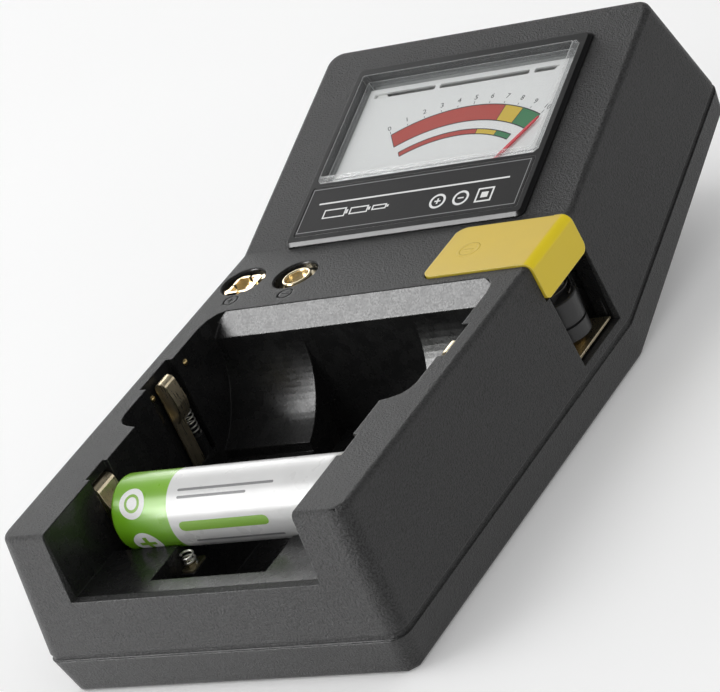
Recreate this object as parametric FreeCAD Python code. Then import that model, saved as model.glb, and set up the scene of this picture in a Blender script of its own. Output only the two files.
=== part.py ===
import FreeCAD, Part
import math, os

# Battery tester, millimetres. X is across the case, Y runs from the open cell
# bay at the front to the meter at the back, Z is up. The origin lies on the
# resting plane, on the centre plane, straight below the front edge of the top.

V = FreeCAD.Vector
os.makedirs("parts", exist_ok=True)

# ---------------------------------------------------------------- dimensions
TOP_Z = 33.9            # height of the flat top over the cell bay
PART_Z = 8.0            # height of the parting line
TOP_HALF = 38.7         # half width at the top edge
PART_HALF = 40.3        # half width at the parting line
BASE_HALF = 38.7        # half width at the underside
FRONT_PART_Y = -2.2     # front face at the parting line
FRONT_BASE_Y = -0.8     # front face at the underside
FOLD_TOP_Y = 94.3       # where the sloping display starts, top
FOLD_PART_Y = 95.0      # the same fold at the parting line
FOLD_BASE_Y = 96.2      # the same fold at the underside
TILT = 16.6             # slope of the display, degrees
DISP_LEN = 54.5         # length of the display slope
CORNER_R = 3.5          # vertical corners
EDGE_R = 1.2            # top edges
WALL = 2.2              # case wall

BAY_HALF_FRONT = 28.0   # half width of the bay around the small cell
BAY_HALF_REAR = 33.5    # half width of the bay around the large cells
LEDGE_Z = 19.9          # floor of the front cut-out
CELL_Y, CELL_Z = 20.6, 24.1      # axis of the small cell cradle
CRADLE_R = 7.3
TROUGH_Y, TROUGH_Z = 52.1, 28.2  # axis of the large cell trough
TROUGH_R = 18.0
RIDGE_Z = 22.0          # ridge between cradle and trough
CHANNEL_HALF = 13.0     # central channel
CHANNEL_FRONT_Y = 4.2
CHANNEL_FLOOR_Z = 6.2
RAMP_TOP_Y, RAMP_LOW_Y, RAMP_LOW_Z = 73.3, 70.1, 29.7

CELL_DIA = 14.2         # small round cell
CELL_LEFT_X = -24.8     # end of the cell body
CELL_BODY = 49.2
NUB_DIA, NUB_LEN = 5.5, 1.2

CLIP_PITCH = 12.7       # spacing of the two snap contacts
CLIP_X, CLIP_Y = -32.2, 83.8
CLIP_DIA = 9.3

LEVER_Y0, LEVER_Y1 = 75.4, 92.6  # clamp lever, along the case
WIN_Y0, WIN_Y1 = 76.5, 92.7      # side window of the button cell slot
WIN_Z = 10.7
PLUNGER_X, PLUNGER_Y = 33.6, 84.6
PLUNGER_R = 4.7
LEVER_LIFT = 5.5

PIVOT_X, PIVOT_L = 2.9, -0.6     # meter pivot, display frame
NEEDLE_R = 33.4
NEEDLE_ANGLE = 34.0              # to the right of the slope direction

C, S = math.cos(math.radians(TILT)), math.sin(math.radians(TILT))
NRM = V(0, -S, C)       # display normal
ALG = V(0, C, S)        # up the display slope
ORG = V(0, FOLD_TOP_Y, TOP_Z)


# ------------------------------------------------------------------- helpers
def box(x0, x1, y0, y1, z0, z1):
    return Part.makeBox(x1 - x0, y1 - y0, z1 - z0, V(x0, y0, z0))


def cyl(r, h, at, axis=V(0, 0, 1)):
    return Part.makeCylinder(r, h, at, axis)


def cone(r0, r1, h, at, axis=V(0, 0, 1)):
    return Part.makeCone(r0, r1, h, at, axis)


def ring(r_out, r_in, h, at, axis=V(0, 0, 1)):
    a = V(axis).normalize()
    return cyl(r_out, h, at, a).cut(cyl(r_in, h + 2, at - a, a))


def hexa(lo, hi):
    """Solid with planar faces from two rings of four corners."""
    def face(p):
        return Part.Face(Part.makePolygon(list(p) + [p[0]]))
    f = [face(lo), face(hi)]
    for i in range(4):
        j = (i + 1) % 4
        f.append(face([lo[i], lo[j], hi[j], hi[i]]))
    s = Part.makeSolid(Part.makeShell(f))
    if s.Volume < 0:
        s.reverse()
    return s


def prism_x(pts, x0, x1):
    """Closed outline given in (y, z), swept along X."""
    w = Part.makePolygon([V(x0, a, b) for a, b in pts] + [V(x0, *pts[0])])
    return Part.Face(w).extrude(V(x1 - x0, 0, 0))


def prism_y(pts, y0, y1):
    w = Part.makePolygon([V(a, y0, b) for a, b in pts] + [V(pts[0][0], y0, pts[0][1])])
    return Part.Face(w).extrude(V(0, y1 - y0, 0))


def prism_z(pts, z0, z1):
    w = Part.makePolygon([V(a, b, z0) for a, b in pts] + [V(pts[0][0], pts[0][1], z0)])
    return Part.Face(w).extrude(V(0, 0, z1 - z0))


def rbox(x0, x1, y0, y1, z0, z1, r, n=8):
    """Box with rounded vertical corners."""
    w = []
    for cx, cy, a0 in ((x1 - r, y1 - r, 0), (x0 + r, y1 - r, 90), (x0 + r, y0 + r, 180), (x1 - r, y0 + r, 270)):
        a, m, b = (math.radians(a0 + t) for t in (0, 45, 90))
        w.append([V(cx + r * math.cos(t), cy + r * math.sin(t), z0) for t in (a, m, b)])
    e = []
    for i in range(4):
        e.append(Part.Arc(*w[i]).toShape())
        p, q = w[i][2], w[(i + 1) % 4][0]
        if (p - q).Length > 1e-6:
            e.append(Part.makeLine(p, q))
    return Part.Face(Part.Wire(e)).extrude(V(0, 0, z1 - z0))


def join(items):
    s = items[0]
    if len(items) > 1:
        s = s.multiFuse(items[1:])
    return s


def fillet(s, r, pick):
    e = [k for k in s.Edges if pick(k)]
    return s.makeFillet(r, e) if e else s


def chamfer(s, r, pick):
    e = [k for k in s.Edges if pick(k)]
    return s.makeChamfer(r, e) if e else s


def disp(s):
    """Place a shape built in display coordinates (x, along the slope, out)."""
    t = s.copy()
    t.Placement = FreeCAD.Placement(ORG, FreeCAD.Rotation(V(1, 0, 0), TILT)).multiply(t.Placement)
    return t


def coil(r, wire, pitch, length, at, axis=V(0, 0, 1)):
    """Round wire wound into a helical spring with plain ends."""
    h = Part.makeHelix(pitch, length, r)
    prof = Part.Wire([Part.Circle(V(r, 0, 0), V(0, 1, 0), wire / 2).toShape()])
    s = Part.Wire(h).makePipeShell([prof], True, True)
    rot = FreeCAD.Rotation(V(0, 0, 1), axis)
    s.Placement = FreeCAD.Placement(at, rot)
    return s


def tube(points, r):
    """Round wire through a list of points, bends filled with balls."""
    parts = []
    for i in range(len(points) - 1):
        a, b = points[i], points[i + 1]
        parts.append(cyl(r, (b - a).Length, a, b - a))
    for p in points[1:-1]:
        parts.append(Part.makeSphere(r, p))
    return join(parts)


def strip(pts, width, thick, centre_y, flip=1):
    """Bent flat spring: centre line in (x, z), extruded along Y."""
    n = len(pts)
    up, dn = [], []
    for i in range(n):
        a = pts[max(i - 1, 0)]
        b = pts[min(i + 1, n - 1)]
        dx, dz = b[0] - a[0], b[1] - a[1]
        L = math.hypot(dx, dz)
        nx, nz = -dz / L * thick / 2, dx / L * thick / 2
        up.append((pts[i][0] + nx, pts[i][1] + nz))
        dn.append((pts[i][0] - nx, pts[i][1] - nz))
    return prism_y(up + dn[::-1], centre_y - width / 2, centre_y + width / 2)


def arc_pts(cx, cz, r, a0, a1, n):
    return [(cx + r * math.cos(math.radians(a0 + (a1 - a0) * i / n)),
             cz + r * math.sin(math.radians(a0 + (a1 - a0) * i / n))) for i in range(n + 1)]


NODES = {}


def put(name, shape):
    if shape.ShapeType == "Compound" and len(shape.Solids) == 1:
        shape = shape.Solids[0]
    NODES[name] = shape


# --------------------------------------------------------------- case bodies
def meet(p, q, r):
    """Point shared by three planes given as (normal, distance)."""
    (a, d), (b, e), (c, f) = p, q, r
    bc, ca, ab = b.cross(c), c.cross(a), a.cross(b)
    return (bc * d + ca * e + ab * f) * (1.0 / a.dot(bc))


def plane(n, p):
    n = V(n).normalize()
    return (n, n.dot(p))


def block(left, right, front, back, low, high):
    """Six planes to a solid."""
    lo = [meet(left, front, low), meet(right, front, low), meet(right, back, low), meet(left, back, low)]
    hi = [meet(left, front, high), meet(right, front, high), meet(right, back, high), meet(left, back, high)]
    return hexa(lo, hi)


K_LOW = (PART_HALF - TOP_HALF) / (TOP_Z - PART_Z)
DEPTH = (ORG - V(0, FOLD_PART_Y, PART_Z)).dot(NRM)
K_DISP = (PART_HALF - TOP_HALF) / DEPTH
FAR_TOP = ORG + ALG * DISP_LEN
FAR_OUT = 0.03
FAR_PART = FAR_TOP - NRM * DEPTH + ALG * (FAR_OUT * DEPTH)
FOLD_N = V(0, TOP_Z - PART_Z, FOLD_PART_Y - FOLD_TOP_Y)
BASE_TILT = 18.4
CB, SB = math.cos(math.radians(BASE_TILT)), math.sin(math.radians(BASE_TILT))
NRM_B = V(0, -SB, CB)


def depth_of(y, z):
    return (ORG - V(0, y, z)).dot(NRM)


def upper_blocks(t_side, t_top, t_front, t_far, drop):
    """Flat and sloping blocks of the upper case with every wall moved in."""
    zf = TOP_Z - t_top
    yf = FOLD_TOP_Y + (FOLD_PART_Y - FOLD_TOP_Y) * t_top / (TOP_Z - PART_Z)
    zb = PART_Z - drop
    yb = FOLD_TOP_Y + (FOLD_PART_Y - FOLD_TOP_Y) * (TOP_Z - zb) / (TOP_Z - PART_Z)
    fold = plane(FOLD_N, ORG)
    low = block(plane(V(-1, 0, K_LOW), V(-TOP_HALF + t_side, 0, TOP_Z)), plane(V(1, 0, K_LOW), V(TOP_HALF - t_side, 0, TOP_Z)),
                plane(V(0, -(TOP_Z - PART_Z), -FRONT_PART_Y), V(0, t_front, TOP_Z)), fold,
                plane(V(0, 0, 1), V(0, 0, zb)), plane(V(0, 0, 1), V(0, 0, zf)))
    dis = block(plane(V(-1, 0, 0) + NRM * K_DISP, ORG - V(TOP_HALF - t_side, 0, 0)),
                plane(V(1, 0, 0) + NRM * K_DISP, ORG + V(TOP_HALF - t_side, 0, 0)),
                fold, plane(ALG + NRM * FAR_OUT, FAR_TOP - ALG * t_far),
                plane(NRM, V(0, yb, zb)), plane(NRM, V(0, yf, zf)))
    return low, dis


def base_blocks(t_side, t_floor, t_front, t_far, rise):
    zt = PART_Z + rise
    fy = (FOLD_BASE_Y - FOLD_PART_Y) / PART_Z
    top_p = V(0, FOLD_PART_Y - fy * rise, zt)
    low_p = V(0, FOLD_BASE_Y - fy * t_floor, t_floor)
    k1 = (PART_HALF - BASE_HALF) / PART_Z
    dep = (V(0, FOLD_PART_Y, PART_Z) - V(0, FOLD_BASE_Y, 0)).dot(NRM)
    k2 = (PART_HALF - BASE_HALF) / dep
    fold = plane(V(0, PART_Z, FOLD_BASE_Y - FOLD_PART_Y), V(0, FOLD_PART_Y, PART_Z))
    low = block(plane(V(-1, 0, -k1), V(-PART_HALF + t_side, 0, PART_Z)), plane(V(1, 0, -k1), V(PART_HALF - t_side, 0, PART_Z)),
                plane(V(0, -PART_Z, -(FRONT_BASE_Y - FRONT_PART_Y)), V(0, FRONT_PART_Y + t_front, PART_Z)), fold,
                plane(V(0, 0, 1), V(0, 0, t_floor)), plane(V(0, 0, 1), V(0, 0, zt)))
    dis = block(plane(V(-1, 0, 0) - NRM * k2, V(-PART_HALF + t_side, FOLD_PART_Y, PART_Z)),
                plane(V(1, 0, 0) - NRM * k2, V(PART_HALF - t_side, FOLD_PART_Y, PART_Z)),
                fold, plane(ALG - NRM * 0.16, FAR_PART - ALG * t_far),
                plane(NRM_B, low_p), plane(NRM, top_p))
    return low, dis


def near(p, q, tol=0.2):
    return (p - q).Length < tol


def is_edge(e, a, b, tol=0.3):
    if len(e.Vertexes) != 2:
        return False
    p, q = e.Vertexes[0].Point, e.Vertexes[1].Point
    return (near(p, a, tol) and near(q, b, tol)) or (near(p, b, tol) and near(q, a, tol))


def on_planes(e, planes):
    """True for an edge that lies in one of the planes but not in two."""
    pts = [e.valueAt(e.FirstParameter + t * (e.LastParameter - e.FirstParameter)) for t in (0.05, 0.5, 0.95)]
    hit = [all(abs(n.dot(p) - d) < 0.02 for p in pts) for n, d in planes]
    return sum(hit) == 1


lo_blk, di_blk = upper_blocks(0, 0, 0, 0, 0)
outer = lo_blk.fuse(di_blk).removeSplitter()
corners = []
for sx in (-1, 1):
    corners.append((V(sx * TOP_HALF, 0, TOP_Z), V(sx * PART_HALF, FRONT_PART_Y, PART_Z)))
    corners.append((FAR_TOP + V(sx * TOP_HALF, 0, 0), FAR_PART + V(sx * PART_HALF, 0, 0)))
outer = fillet(outer, CORNER_R, lambda e: any(is_edge(e, a, b) for a, b in corners))
outer = fillet(outer, EDGE_R, lambda e: on_planes(e, [plane(V(0, 0, 1), V(0, 0, TOP_Z)), plane(NRM, ORG)]))
GROOVE_D, GROOVE_H = 0.4, 0.22   # open seam between the case halves
core = upper_blocks(GROOVE_D, -8, GROOVE_D, GROOVE_D, 9)
core = core[0].fuse(core[1]).removeSplitter()


def tall_corner(e):
    if len(e.Vertexes) != 2:
        return False
    p, q = e.Vertexes[0].Point, e.Vertexes[1].Point
    return abs(p.x - q.x) < 5 and abs(p.x) > 30 and abs(p.z - q.z) > 20 and not (85 < p.y < 105 and 85 < q.y < 105)


core = fillet(core, CORNER_R - GROOVE_D, tall_corner)
seam = upper_blocks(-6, DEPTH - GROOVE_H, -6, -6, GROOVE_H)
seam = seam[0].fuse(seam[1]).cut(core)
outer = outer.cut(seam)

lo_in, di_in = upper_blocks(WALL, WALL, WALL, WALL, 1.5)
inner = lo_in.fuse(di_in)

shell = outer.cut(inner)

# bay floor, cradle and trough in side view
profile = [(-8, LEDGE_Z)]
a_led = math.degrees(math.acos((LEDGE_Z - CELL_Z) / CRADLE_R))
profile += [(CELL_Y + CRADLE_R * math.sin(math.radians(t)), CELL_Z - CRADLE_R * math.cos(math.radians(t)))
            for t in [-(180 - a_led) + i * (2 * (180 - a_led)) / 20 for i in range(21)] if True]
y_r = CELL_Y + math.sqrt(CRADLE_R ** 2 - (CELL_Z - RIDGE_Z) ** 2)
profile = [p for p in profile if not (p[0] > CELL_Y and p[1] > RIDGE_Z - 0.05)]
profile.append((y_r, RIDGE_Z))
y_t = TROUGH_Y - math.sqrt(TROUGH_R ** 2 - (TROUGH_Z - RIDGE_Z) ** 2)
a_t = math.degrees(math.asin((TROUGH_Y - y_t) / TROUGH_R))
N = 40
profile += [(TROUGH_Y + TROUGH_R * math.sin(math.radians(-a_t + i * (a_t + 90) / N)),
             TROUGH_Z - TROUGH_R * math.cos(math.radians(-a_t + i * (a_t + 90) / N))) for i in range(N + 1)]
profile += [(RAMP_LOW_Y, RAMP_LOW_Z), (RAMP_TOP_Y, TOP_Z), (RAMP_TOP_Y, TOP_Z + 8), (-8, TOP_Z + 8)]
bay_wide = prism_x(profile, -BAY_HALF_REAR, BAY_HALF_REAR)
# plan outline: narrow at the front, stepping out around the large cells
F, R_ = BAY_HALF_FRONT, BAY_HALF_REAR
plan = [(-F, -9), (F, -9), (F, 34.0), (F + 2.2, 34.6), (F + 4.0, 35.6), (R_ - 0.5, 37.0), (R_, 38.6),
        (R_, 67.5), (R_ - 0.5, 70.2), (R_ - 1.8, 72.3), (R_ - 3.6, 73.31), (R_ - 3.6, 80)]
plan = plan + [(-x, y) for x, y in plan[::-1]][:-1]
plan = [p for i, p in enumerate(plan) if i == 0 or p != plan[i - 1]]
bay = bay_wide.common(prism_z(plan, 0, TOP_Z + 9))
# central channel below the floor
channel = box(-CHANNEL_HALF, CHANNEL_HALF, CHANNEL_FRONT_Y, RAMP_LOW_Y, CHANNEL_FLOOR_Z, TOP_Z)
# shallow relief in the middle of the trough
relief = box(-R_, R_, TROUGH_Y - 6.7, TROUGH_Y + 6.7, TROUGH_Z - TROUGH_R - 0.7, TROUGH_Z)
relief = relief.common(prism_z(plan, 0, TOP_Z + 9))

# tub body under the bay
under = [(-1.2, LEDGE_Z - 1.9), (12.4, LEDGE_Z - 1.9), (13.8, 16.2), (17.0, 14.9), (24.2, 14.9), (27.6, 17.2),
         (29.4, RIDGE_Z - 1.9), (33.4, RIDGE_Z - 1.9), (35.6, 17.6), (39.6, 12.6), (44.0, 8.0), (60.2, 8.0), (64.6, 12.6),
         (68.6, 17.6), (71.0, 22.8), (71.9, 28.2), (72.2, 29.0), (75.2, 33.0), (75.2, TOP_Z), (-1.2, TOP_Z)]
tub = prism_x(under, -R_ - 1.7, R_ + 1.7)
tub_plan = [(-F - 1.8, -1.2), (F + 1.8, -1.2), (F + 1.8, 33.0), (R_ + 1.7, 34.4), (R_ + 1.7, 75.2),
            (-R_ - 1.7, 75.2), (-R_ - 1.7, 34.4), (-F - 1.8, 33.0)]
tub = tub.common(prism_z(tub_plan, 0, TOP_Z))
tub = tub.fuse(box(-CHANNEL_HALF - 1.6, CHANNEL_HALF + 1.6, CHANNEL_FRONT_Y - 1.6, RAMP_LOW_Y + 1.6,
                   CHANNEL_FLOOR_Z - 1.6, 30.0).common(prism_x(under[:-2] + [(75.2, 32), (-1.2, 32)], -40, 40).fuse(
                       box(-20, 20, CHANNEL_FRONT_Y - 1.6, RAMP_LOW_Y + 1.6, 3, 24))))
tub = tub.common(box(-60, 60, -1.2, 76, 3, TOP_Z - 0.4).cut(prism_x([(-9, 40), (-9, PART_Z - 5), (-1.25, PART_Z - 5), (0.3, TOP_Z)], -60, 60)))

# button cell chamber
CH_X0, CH_Y0, CH_Y1 = 24.0, WIN_Y0, WIN_Y1
chamber = box(CH_X0 - 1.6, 37.6, CH_Y0 - 1.6, 94.2, WIN_Z - 1.6, TOP_Z - 1.0)
shell = shell.fuse(tub).fuse(chamber.common(outer))
shell = shell.cut(bay).cut(channel).cut(relief)
slot = box(CH_X0, 50, CH_Y0, CH_Y1, WIN_Z, TOP_Z - 2.2)
shell = shell.cut(slot)
# bridge that guides the plunger stem
bridge = box(CH_X0 - 0.5, 37.4, CH_Y0 - 0.5, CH_Y1 + 0.5, 29.4, 30.9)
shell = shell.fuse(bridge)
STEM, STEM_L = 3.8, 5.6      # stem of the lever
shell = shell.cut(box(PLUNGER_X - STEM / 2 - 0.06, PLUNGER_X + STEM / 2 + 0.06, PLUNGER_Y - STEM_L / 2 - 0.06, PLUNGER_Y + STEM_L / 2 + 0.06, 27, 40))
# seat for the lever: flush recess in the top and down the side
FL_T = 1.6
lever_top_z = TOP_Z + 0.35
seat = rbox(14.5, 70, LEVER_Y0 - 0.2, LEVER_Y1 + 0.2, lever_top_z - FL_T - 0.15, TOP_Z + 10, 2.5)
side_k = (PART_HALF - TOP_HALF) / (TOP_Z - PART_Z)
shell = shell.cut(seat)
shell = shell.cut(box(37.6, 60, LEVER_Y0 - 0.2, LEVER_Y1 + 0.2, 26.0, 60))
# shelves on both sides of the window behind the side flap
# guide grooves in the rear and front chamber walls
shell = shell.cut(box(33.0, 35.2, CH_Y1 - 0.2, CH_Y1 + 0.9, WIN_Z + 0.8, 29.0))
shell = shell.cut(box(33.0, 35.2, CH_Y0 - 0.9, CH_Y0 + 0.2, WIN_Z + 0.8, 29.0))
# shelf for the small spring in the channel
shell = shell.fuse(box(-CHANNEL_HALF - 0.2, -9.8, 11.6, 17.0, CHANNEL_FLOOR_Z - 0.4, 15.6))
# slit for the button cell contact plate
shell = shell.cut(box(14.0, 39.0, CH_Y0 + 0.6, CH_Y1 - 0.6, 11.25, 11.85))

# openings over the two snap contacts, and pegs that hold their carrier
for i in range(2):
    cx = CLIP_X + i * CLIP_PITCH
    shell = shell.cut(cyl(CLIP_DIA / 2, 12, V(cx, CLIP_Y, TOP_Z - 6)))
    shell = shell.cut(cone(CLIP_DIA / 2 + 0.3, CLIP_DIA / 2, 0.31, V(cx, CLIP_Y, TOP_Z + 0.001), V(0, 0, -1)))
PEGS = [(CLIP_X + CLIP_PITCH / 2, CLIP_Y - 4.3), (CLIP_X + CLIP_PITCH / 2, CLIP_Y + 4.3)]
for x, y in PEGS:
    shell = shell.fuse(cyl(0.9, 3.2, V(x, y, TOP_Z - WALL - 2.2)))
# engraved polarity signs beside the wells (plus in a ring, minus in a ring)
for i, sgn in ((0, "+"), (1, "-")):
    cx, cy = CLIP_X - 0.4 + i * CLIP_PITCH + (1.4, 1.9)[i], 76.9
    shell = shell.cut(ring(1.75, 1.35, 0.5, V(cx, cy, TOP_Z - 0.3)))
    shell = shell.cut(box(cx - 0.85, cx + 0.85, cy - 0.16, cy + 0.16, TOP_Z - 0.3, TOP_Z + 1))
    if sgn == "+":
        shell = shell.cut(box(cx - 0.16, cx + 0.16, cy - 0.85, cy + 0.85, TOP_Z - 0.3, TOP_Z + 1))

# contact grooves in the side walls of the bay
GR_F = (17.4, 23.8)
GR_R = (50.0, 57.6)
SPR_Y = 55.15           # wall springs beside the rear leaves
GB_F = F + 4.7          # back of the front grooves
LEAF_FX = F + 3.0       # standing leg of the front leaves
LEAF_RX = R_ + 0.8      # standing leg of the rear leaves
REC_R = R_ + 1.6        # back of the shallow recess behind the rear leaves
for s in (-1, 1):
    def sx(a, b, *rest):
        x0, x1 = sorted((s * a, s * b))
        return box(x0, x1, *rest)
    # front: deep groove under the skin, shallow notch through the top
    shell = shell.cut(sx(F - 0.5, GB_F, GR_F[0], GR_F[1], 15.0, 32.1))
    shell = shell.fuse(sx(GB_F, GB_F + 1.5, GR_F[0] - 1.4, GR_F[1] + 1.4, 13.4, TOP_Z - 0.6))
    shell = shell.fuse(sx(F + 1.0, GB_F + 1.5, GR_F[0] - 1.4, GR_F[0], 13.4, TOP_Z - 0.6))
    shell = shell.fuse(sx(F + 1.0, GB_F + 1.5, GR_F[1], GR_F[1] + 1.4, 13.4, TOP_Z - 0.6))
    shell = shell.fuse(sx(F + 0.0, GB_F + 1.5, GR_F[0] - 1.4, GR_F[1] + 1.4, 13.4, 15.0))
    shell = shell.cut(sx(F - 0.5, F + 1.05, GR_F[0] - 0.1, GR_F[1], 15.0, 40))
    shell = shell.cut(sx(LEAF_FX - 0.45, LEAF_FX + 0.45, sum(GR_F) / 2 - 3.0, sum(GR_F) / 2 + 3.0, 13.0, 15.4))
    # rear: shallow recess through the top, pocket for the spring under the skin
    shell = shell.fuse(sx(R_ + 1.0, R_ + 3.8, GR_R[0] - 4.4, GR_R[1] + 1.2, 12.3, TOP_Z - 0.6).common(outer))
    shell = shell.fuse(sx(R_ + 0.2, R_ + 3.8, GR_R[0] - 1.2, GR_R[1] + 1.2, 12.3, 13.5))
    shell = shell.cut(sx(R_ - 0.5, REC_R, 47.0, 57.3, 13.5, 40))
    shell = shell.cut(sx(R_ - 0.5, R_ + 2.6, 53.72, 56.9, 13.5, 31.4))
    shell = shell.fuse(cyl(1.35, 18.1 - 12.5, V(s * (R_ + 1.2), SPR_Y, 12.5))).fuse(cyl(0.7, 2.6, V(s * (R_ + 1.2), SPR_Y, 18.0)))
    shell = shell.cut(sx(LEAF_RX - 0.45, LEAF_RX + 0.45, GR_R[0] + 0.05, GR_R[0] + 3.85, 12.0, 13.9))

# holes for the contact rivets
RIVETS = [(49.2, 30.4, REC_R), (60.1, 31.2, R_)]
for s_ in (-1, 1):
    for y, z, x in RIVETS:
        shell = shell.cut(cyl(0.5, 2.2, V(s_ * (x - 0.4), y, z), V(s_, 0, 0)))

# display opening and meter seat
OPEN_X, OPEN_L0, OPEN_L1 = 26.4, 2.0, 45.15
shell = shell.cut(disp(box(-OPEN_X, OPEN_X, OPEN_L0, OPEN_L1, -5, 6)))
EARS = [(-30.4, 18.0), (30.4, 18.0), (-30.4, 38.0), (30.4, 38.0)]
for x, l in EARS:
    shell = shell.fuse(disp(cyl(2.5, 4.2, V(x, l, -5.2))))
    shell = shell.cut(disp(cyl(0.95, 4.2, V(x, l, -6.0))))

# shallow pocket in the skin over the movement bridge
shell = shell.cut(disp(box(PIVOT_X - 13.8, PIVOT_X + 13.8, -4.0, 2.4, -6.0, -1.75)))

# screw bosses of the upper case
SC_F = [(-33.6, 7.6), (33.6, 7.6)]
SC_R = [(-31.5, 47.0), (31.5, 47.0)]
for x, y in SC_F:
    shell = shell.fuse(cyl(3.0, TOP_Z - PART_Z - 2.0, V(x, y, PART_Z + 1.0)).common(outer))
    shell = shell.cut(cyl(1.45, 14.0, V(x, y, PART_Z - 1.0)))
for x, l in SC_R:
    b = disp(cyl(3.2, 19.5, V(x, l, -20.5)))
    shell = shell.fuse(b.common(outer))
    shell = shell.cut(disp(cyl(1.45, 14.0, V(x, l, -22))))
shell = shell.removeSplitter()
upper = shell

# ---------------------------------------------------------------- lower case
lo2, di2 = base_blocks(0, 0, 0, 0, 0)
bouter = lo2.fuse(di2).removeSplitter()
base_far = meet(plane(V(1, 0, 0), V(0, 0, 0)), plane(ALG - NRM * 0.16, FAR_PART), plane(NRM_B, V(0, FOLD_BASE_Y, 0)))
corners = []
for e in bouter.Edges:
    if len(e.Vertexes) != 2:
        continue
    p, q = e.Vertexes[0].Point, e.Vertexes[1].Point
    if abs(p.x - q.x) < 3 and abs(p.x) > 30 and 3 < (p - q).Length < 10 and not (90 < p.y < 100):
        corners.append((p, q))
bouter = fillet(bouter, CORNER_R, lambda e: any(is_edge(e, a, b, 0.01) for a, b in corners))
BASE_CH = 0.6           # bevel around the underside


def shave(s, n, p):
    """Remove everything on the far side of a plane."""
    n = V(n).normalize()
    r = FreeCAD.Rotation(V(0, 0, 1), n)
    b = Part.makeBox(400, 400, 60, V(-200, -200, 0))
    b.Placement = FreeCAD.Placement(V(p), r)
    return s.cut(b)


k1 = (PART_HALF - BASE_HALF) / PART_Z
for sx in (-1, 1):
    bouter = shave(bouter, V(sx, 0, -1), V(sx * (BASE_HALF - BASE_CH), 0, 0))
    bouter = shave(bouter, V(sx, 0, 0) - NRM_B, V(sx * (BASE_HALF - BASE_CH), FOLD_BASE_Y, 0))
    d = CORNER_R * (1 - math.sqrt(0.5)) + BASE_CH * 0.6
    bouter = shave(bouter, V(sx * 0.7071, -0.7071, -1), V(sx * (BASE_HALF - d), FRONT_BASE_Y + d, 0))
    bouter = shave(bouter, V(sx * 0.7071, 0, 0) + ALG * 0.7071 - NRM_B, base_far + V(sx * (39.0 - d), 0, 0) - ALG * d)
bouter = shave(bouter, V(0, -1, -1), V(0, FRONT_BASE_Y + BASE_CH, 0))
bouter = shave(bouter, ALG - NRM_B, base_far - ALG * BASE_CH)
bouter = bouter.cut(seam)
li2, dii2 = base_blocks(WALL, 2.0, WALL, WALL, 1.0)
lower = bouter.cut(li2.fuse(dii2))
# tongue that centres the two halves
TON = 0.12
ta = upper_blocks(WALL + TON, WALL, WALL + TON, WALL + TON, 1.2)
tb = upper_blocks(WALL + 1.1, WALL - 1, WALL + 1.1, WALL + 1.1, 2.4)
tongue = ta[0].fuse(ta[1]).cut(tb[0].fuse(tb[1]))
mid = upper_blocks(-6, DEPTH - 1.3, -6, -6, 1.2)
tongue = tongue.common(mid[0].fuse(mid[1]))
lower = lower.fuse(tongue)
# posts and screw holes
post_in = base_blocks(0.8, 0.8, 0.8, 0.8, 0.95)
post_lim = post_in[0].fuse(post_in[1])
for x, y in SC_F:
    lower = lower.fuse(cyl(3.4, 12.0, V(x, y, 0.5)).common(post_lim))
for x, l in SC_R:
    p = ORG + ALG * l + V(x, 0, 0)
    lower = lower.fuse(cyl(3.6, 20.0, p - NRM * 18.0, -NRM).common(post_lim))
SCREW_HEAD_Z = 3.4
for x, y in SC_F:
    lower = lower.cut(cyl(1.7, 12.0, V(x, y, -1)))
    lower = lower.cut(cyl(3.0, SCREW_HEAD_Z + 1, V(x, y, -1)))
REAR_HEAD = 26.4
for x, l in SC_R:
    p = ORG + ALG * l + V(x, 0, 0)
    lower = lower.cut(cyl(1.7, 20.0, p - NRM * 20.0, -NRM))
    lower = lower.cut(cyl(3.0, 9.0, p - NRM * REAR_HEAD, -NRM))
lower = lower.cut(upper.common(box(-60, 60, -10, 170, PART_Z - 4, 40))).removeSplitter()

put("upper_case", upper)
put("lower_case", lower)

# -------------------------------------------------------------- case screws
SCREWS = []
for x, y in SC_F:
    head = cyl(2.7, 1.9, V(x, y, SCREW_HEAD_Z - 1.9))
    head = head.cut(box(x - 1.7, x + 1.7, y - 0.3, y + 0.3, 0, SCREW_HEAD_Z - 0.9)).cut(
        box(x - 0.3, x + 0.3, y - 1.7, y + 1.7, 0, SCREW_HEAD_Z - 0.9))
    SCREWS.append(head.fuse(cyl(1.4, 16.6, V(x, y, SCREW_HEAD_Z - 0.2))))
for x, l in SC_R:
    h0 = -REAR_HEAD
    head = cyl(2.7, 1.9, V(x, l, h0 - 1.9))
    head = head.cut(box(x - 1.7, x + 1.7, l - 0.3, l + 0.3, h0 - 4, h0 - 0.9)).cut(
        box(x - 0.3, x + 0.3, l - 1.7, l + 1.7, h0 - 4, h0 - 0.9))
    SCREWS.append(disp(head.fuse(cyl(1.4, 16.6, V(x, l, h0 - 0.2)))))
put("case_screws", Part.makeCompound(SCREWS))

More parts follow.
